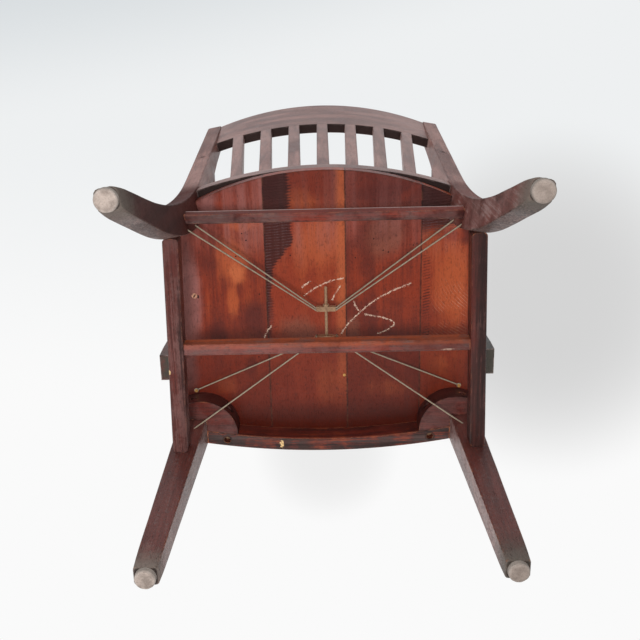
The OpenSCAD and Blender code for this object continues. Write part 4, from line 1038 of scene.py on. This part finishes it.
def rail_rings(middle_y, low_z, thick, lean, height, arch=0.0):
    """Rings across a bowed rail, from post to post."""
    lean, half = radians(lean), RAIL_HALF
    arch_r = (half * half + arch * arch) / (2 * arch) if arch else 0.0
    section = soft_section(0.0, thick, 0.0, 1000.0, sizes().arris * 1000)
    rings = []
    for share in spread(-1.0, 1.0, 48):
        x = share * half
        top = height - (arch_r - sqrt(arch_r ** 2 - x ** 2) if arch else 0.0)
        ring = []
        for deep, up in section:
            z = up if up < 500.0 else top - (1000.0 - up)
            r = RAIL_BOW - deep
            end = half
            for _ in range(4):
                end_y = sqrt(r * r - end * end) - RAIL_BOW
                world = middle_y + end_y * cos(lean) + z * sin(lean)
                end = POST_GAP / 2 + (world + MID_Y - POST_Y) * tan(POST_TURN) + 0.4
            y = sqrt(r * r - (share * end) ** 2) - RAIL_BOW
            ring.append((share * end, middle_y + y * cos(lean) + z * sin(lean),
                         low_z - y * sin(lean) + z * cos(lean)))
        rings.append(ring)
    return rings


def arm_rings():
    """Rings along an arm, from the post's front face to the rounded nose."""
    rings = []
    for y in spread(ARM_END, ARM_NOSE, 60):
        u = min(1.0, max(0.0, (ARM_FLARE[1] - y) / (ARM_FLARE[1] - ARM_FLARE[0])))
        grown = u * u * (3 - 2 * u)
        half = ARM_REAR_HALF + (ARM_HALF - ARM_REAR_HALF) * grown
        rings.append(arm_ring(ARM_REAR_X + (ARM_X - ARM_REAR_X) * grown, y, half, y == ARM_END))
    for angle in (12, 24, 36, 48, 58, 67, 75, 82, 87):
        turn = radians(angle)
        rings.append(arm_ring(ARM_X, ARM_NOSE - ARM_HALF * sin(turn), ARM_HALF * cos(turn)))
    return rings


def arm_ring(x, y, half, at_post=False):
    thick = ARM_FLAT + ARM_R
    section = soft_section(x - half, x + half, ARM_Z - thick, ARM_Z + thick,
                           min(ARM_R, half * 0.9), ARM_R, steps=5)
    if not at_post:
        return [(x, y - MID_Y, z) for x, z in section]
    ring = []
    for x, z in section:
        s = post_front(z)
        t = (x - POST_GAP / 2 - s * sin(POST_TURN)) / cos(POST_TURN)
        ring.append(post_point(s, t, z))
    return ring


class CHAIR_OT_back(bpy.types.Operator):
    """Dress the posts, rails, slats and arms"""

    bl_idname = "chair.back"
    bl_label = "Back and arms"

    def execute(self, context):
        upright = back_wood("slat_wood", "z", 2.9, 0.45)
        across = back_wood("crest_wood", "x", 6.6, 0.4)
        forward = back_wood("arm_wood", "y", 8.8, 0.25)
        for side, name in SIDES.items():
            planks = back_wood("post_wood_" + name, "z", 2.9 + side, 0.4, 0.1, side)
            loft("dressed_rear_post_" + name, mirrored(post_rings(side), side), planks,
                 ["rear_post_" + name])
            loft("dressed_arm_" + name, mirrored(arm_rings(), side), forward,
                 ["arm_" + name])
        paint(upright, *(f"back_slat_{i}" for i in range(1, 8)))
        crest = rail_rings(middle_y=212.505, low_z=762.0, thick=16.0, lean=8.00857, height=142.0,
                           arch=20.0)
        lower = rail_rings(middle_y=185.7, low_z=442.0, thick=22.0, lean=0.0, height=32.0)
        for name, rings in (("crest_rail", crest), ("lower_back_rail", lower)):
            loft("dressed_" + name, rings, across, [name])
        hues = colours()
        dull = Wood("stump_wood", "z", hues.stump, hues.stump, hues.stump, 5.5)
        dull.layer(hues.leg_brown, dull.cloud.swayed(dull.streak, 0.5).step(0.48, 0.6) * 0.7)
        dull.rubbed(hues.bloom, 0.5)
        paint(dull.made(coat=0.05), *both("arm_stump"))
        return {"FINISHED"}


# Metal


def add_bolt(material):
    """The tension bolt with a rolled thread and a chamfered head."""
    low, high, middle = box_mm("tension_bolt")
    pitch = sizes().thread * 1000
    head_l, across = 3.6, 3.95
    core, crest = 1.85, 2.3
    around, per_turn = 24, 6
    start = low.y + head_l
    rings = turned_rings((0.0, low.y, middle.z), REAR, [
        (0.0, across * 0.95, 0), (0.5, across * 1.1, across),
        (head_l - 0.1, across * 1.16, across), (head_l, across, across), (head_l, crest, 0),
    ], around)
    for k in range(1, round((high.y - start) / pitch * per_turn)):
        along = k * pitch / per_turn
        fade = min(1.0, (high.y - start - along) / 1.5)
        ring = []
        for i in range(around):
            angle = tau * i / around
            phase = (along / pitch - i / around) % 1.0
            r = core + (crest - core) * abs(2 * phase - 1) - (1 - fade) * 0.5
            ring.append((-r * cos(angle), start + along, middle.z + r * sin(angle)))
        rings.append(ring)
    loft("threaded_bolt", rings, material, ["tension_bolt"], 60.0)


def add_nut(material):
    low, high, middle = box_mm("tension_nut")
    thick, half = high.y - low.y, (high.x - low.x) / 2
    # The box shows which way the hexagon lies
    flat = half * cos(pi / 6) if half > (high.z - low.z) / 2 + 0.1 else half
    bore, corner, chamfer = 2.3, flat * 1.14, thick * 0.18
    rings = turned_rings((middle.x, low.y, middle.z), REAR, [
        (0.0, bore, 0), (0.0, flat, flat), (chamfer, corner, flat),
        (thick - chamfer, corner, flat), (thick, flat, flat), (thick, bore, 0)])
    loft("chamfered_nut", rings, material, ["tension_nut"], 25.0)


def add_screw(material):
    """The lone screw's domed head, with its slot cut across."""
    low, high, middle = box_mm("lone_screw")
    half, dome, depth = (high.x - low.x) / 2, 0.35, 0.0007
    profile = [(0.0, 0.02 * half, 0)] + [
        (-dome * half * (1 - cos(radians(a))), half * sin(radians(a)), 0)
        for a in range(10, 91, 10)]
    ends = turned_rings((middle.x, middle.y, low.z), DOWN, profile, 32)
    ends.append([Vector((p.x, p.y, high.z)) for p in ends[-1]])
    obj = loft("slotted_screw", ends, material, ["lone_screw"], 40.0)
    bm = bmesh.new()
    bm.from_mesh(obj.data)
    tilt = radians(35)
    across = Vector((cos(tilt), sin(tilt), 0.0))
    centre = Vector((middle.x, middle.y, 0.0)) * 0.001
    width, wall = 0.0005, 0.00008
    for off in (-width - wall, -width, width, width + wall):
        bmesh.ops.bisect_plane(bm, geom=[*bm.verts, *bm.edges, *bm.faces],
                               plane_co=centre + across * off, plane_no=across)
    for vert in bm.verts:
        off = abs((vert.co - centre).dot(across))
        if off < width + wall / 2 and vert.co.z < low.z / 1000 + 0.001:
            vert.co.z += depth
    bm.to_mesh(obj.data)
    bm.free()


class CHAIR_OT_metal(bpy.types.Operator):
    """Dress the wire brace and the fastenings"""

    bl_idname = "chair.metal"
    bl_label = "Wire brace and fastenings"

    def execute(self, context):
        hues = colours()
        steel = Metal("steel_metal", hues.steel, hues.rust).material
        brass = Metal("brass_metal", hues.brass, hues.rust, 0.6).material
        # grimy paints shade on the wires' sides
        zinc = Metal("wire_metal", hues.wire, hues.rust, 0.35, grimy=0.75).material
        paint(zinc, *both("brace_wire_front"), *both("brace_wire_rear"))
        paint(steel, "wire_clip", "wire_yoke", "apron_screws", "block_screws", "frame_screws")
        paint(brass, "wire_nails", "seat_tack")
        add_bolt(steel)
        add_nut(steel)
        screw = Metal("screw_metal", hues.screw, hues.rust, 0.6)
        middle = box_mm("lone_screw")[2] / 1000
        slot = screw.within(screw.here, middle[:2], (0.0034, 0.0014), radians(125),
                            full=0.5, none=1.2)
        screw.finish({"Base Color": screw.mix(screw.base, hues.rust, slot)})
        add_screw(screw.material)
        hidden = Wood("dowel_wood", "z", hues.bare, hues.fleck, hues.fleck, 3.3).made(coat=0.0)
        paint(hidden, "crest_dowels", "rail_dowels", "apron_dowels")
        plug = Wood("plug_wood", "z", hues.leg_dark, hues.leg_brown, hues.back_mauve, 3.3)
        paint(plug.layer(hues.bloom, plug.patch * 0.5).made(), "wood_plugs")
        return {"FINISHED"}


class CHAIR_OT_glides(bpy.types.Operator):
    """Dress the four foot glides"""

    bl_idname = "chair.glides"
    bl_label = "Foot glides"

    def execute(self, context):
        hues = colours()
        shader = Shader("glide_wear")
        cloud = shader.noise(shader.here, 90.0, 5.0, 0.6)
        spots = shader.noise(shader.here, 520.0, 4.0, 0.6)
        base = shader.mix(hues.glide, hues.glide_dirt, cloud.step(0.4, 0.65) * 0.7)
        base = shader.mix(base, hues.glide_dirt, spots.step(0.5, 0.75) * 0.6)
        fine = shader.noise(shader.here, 1100.0, 2.0, 0.6)
        base = shader.mix(base, scaled(hues.glide, 1.45), fine.step(0.56, 0.68) * 0.4)
        base = shader.mix(base, hues.glide_dirt, shader.x.step(0.02, -0.02) * 0.5)
        side = shader.facing(DOWN, 0.9, 0.3)
        base = shader.mix(base, hues.bare, side * 0.6)
        material = shader.finish({"Base Color": base, "Roughness": 0.55 + spots * 0.3,
                                  "Normal": shader.bump(spots * 0.6 + cloud, 0.0005)})
        for seed, node in enumerate(both("glide_front") + both("glide_rear")):
            low, high, middle = box_mm(node)
            half = (high.x - low.x) / 2
            stem = min(4.0, half * 0.4)
            profile = [(0.35, half * 0.02, 0), (0.1, half * 0.35, 0), (0.0, half * 0.62, 0),
                       (0.25, half * 0.78, 0), (0.9, half * 0.9, 0), (2.0, half * 0.975, 0),
                       (3.4, half, 0), (GLIDE_H, half, 0), (GLIDE_H, stem, 0), (high.z, stem, 0)]
            rings = turned_rings((middle.x, middle.y, 0.0), UP, profile)
            for ring in rings[1:8]:
                for i, p in enumerate(ring):
                    away = Vector((p.x - middle.x, p.y - middle.y, 0.0))
                    turn = cos(tau * i / len(ring))
                    ring[i] = p + away * 0.022 * (wander(turn * 3, seed, 1.0) - 0.6)
            loft("worn_" + node, rings, material, [node], 50.0)
        return {"FINISHED"}


# Stage


def add_floor(stage):
    """A pale floor that a camera below sees through, and that lamps below shine through."""
    half = 4000.0
    corners = [(-half, -half, 0.0), (half, -half, 0.0), (half, half, 0.0), (-half, half, 0.0)]
    mesh = mesh_from("floor", corners, [(0, 1, 2, 3)], turned=False)
    obj = placed("floor", mesh)
    shader = Shader("floor")
    grit = shader.noise(shader.here, 40.0, 5.0)
    base = shader.mix(stage.floor, scaled(stage.floor, 0.97), grit)
    shader.finish({"Base Color": base}, {"Roughness": 0.8})
    below = shader.node("NewGeometry", out="Backfacing")
    lamps = shader.node("LightPath", out="Is Shadow Ray")
    clear = shader.node("BsdfTransparent")
    solid = Value(shader, shader.surface.outputs[0])
    seen = shader.node("MixShader", {}, {0: below.over(lamps), 1: solid, 2: clear})
    shader.link(seen, shader.tree.nodes["Material Output"].inputs["Surface"])
    mesh.materials.append(shader.material)


def light_room(scene, stage):
    """Soft light all round, and an uneven pale background with painted shadows of the chair, for
    the rays that see it.
    """
    world = bpy.data.worlds.new("room")
    world.use_nodes = True
    scene.world = world
    room = Nodes(world.node_tree)
    ray = "LightPath"
    seen = (room.node(ray, out="Is Camera Ray").over(room.node(ray, out="Is Glossy Ray"))
            .over(room.node(ray, out="Is Transmission Ray")))
    way = room.node("TexCoord", out="Generated")
    high = room.dot(way, (-0.02, 0.948, 0.319)).step(-0.1, 0.22)
    paper = room.mix(stage.paper, stage.haze, high)
    # The corner spot is a painted shadow of the chair on the background, the shade spot the
    # apron's
    for hue, far, near, centre in (
        (stage.veil, 0.26, 0.42, (0.2, 0.93, 0.31)),
        (stage.corner, 0.98, 0.9995, (-0.246, -0.303, 0.953)),
        (stage.shade, 0.9962, 0.9999, (0.0, -0.455, 0.905)),
    ):
        spot = room.dot(way, Vector(centre).normalized()).step(far, near)
        paper = room.mix(paper, hue, spot)
    up = room.dot(way, UP)
    paper = room.mix(paper, stage.cellar, up.step(-0.25, -0.6))
    soft = room.mix((stage.sky,) * 3, (stage.dusk,) * 3, up.step(0.1, -0.3))
    room.link(room.mix(soft, paper, seen), room.tree.nodes["Background"].inputs["Color"])


def add_lamp(name, power, size, at, towards):
    lamp = bpy.data.lights.new(name, "AREA")
    lamp.energy = power
    lamp.size = size
    holder = placed(name, lamp)
    holder.location = at
    turn = (Vector(towards) - Vector(at)).to_track_quat("-Z", "Y")
    holder.rotation_euler = turn.to_euler()
    # Reflections show the pale room only
    holder.visible_glossy = False


class CHAIR_OT_stage(bpy.types.Operator):
    """Set up the floor, the lamps, the background and the camera"""

    bl_idname = "chair.stage"
    bl_label = "Stage"

    def execute(self, context):
        scene = context.scene
        stage = scene.chair_stage
        scene.view_settings.view_transform = "Standard"
        add_floor(stage)
        light_room(scene, stage)
        add_lamp("key_lamp", stage.key, 0.26, (0.12, 0.42, -1.5), (0.0, -0.02, 0.41))
        add_lamp("fill_lamp", stage.fill, 1.0, (0.5, 2.0, 0.85), (0.0, 0.0, 0.4))
        add_lamp("top_lamp", stage.top, 1.6, (0.9, -1.2, 2.3), (0.0, 0.0, 0.4))
        camera = bpy.data.cameras.new("camera")
        camera.lens = stage.lens
        camera.sensor_width = 36.0
        camera.clip_start = 0.01
        holder = placed("camera", camera)
        holder.location = stage.camera_at
        holder.rotation_euler = stage.camera_turn
        scene.camera = holder
        return {"FINISHED"}


class CHAIR_PT_tools(bpy.types.Panel):
    """Lists the steps that dress the chair"""

    bl_idname = "CHAIR_PT_tools"
    bl_label = "Library armchair"
    bl_space_type = "VIEW_3D"
    bl_region_type = "UI"
    bl_category = "Chair"

    def draw(self, context):
        for step in STEPS:
            self.layout.operator(step.bl_idname)


STEPS = (CHAIR_OT_seat, CHAIR_OT_marks, CHAIR_OT_frame, CHAIR_OT_back, CHAIR_OT_metal,
         CHAIR_OT_glides, CHAIR_OT_stage)
GROUPS = {"chair_sizes": ChairSizes, "chair_colours": ChairColours, "chair_stage": ChairStage}
CLASSES = (*GROUPS.values(), *STEPS, CHAIR_PT_tools)


def register():
    for made in CLASSES:
        bpy.utils.register_class(made)
    for name, group in GROUPS.items():
        setattr(bpy.types.Scene, name, PointerProperty(type=group))


def unregister():
    for name in GROUPS:
        delattr(bpy.types.Scene, name)
    for made in reversed(CLASSES):
        bpy.utils.unregister_class(made)


def main():
    register()
    for step in STEPS:
        group, name = step.bl_idname.split(".")
        getattr(getattr(bpy.ops, group), name)()


if __name__ == "__main__":
    main()
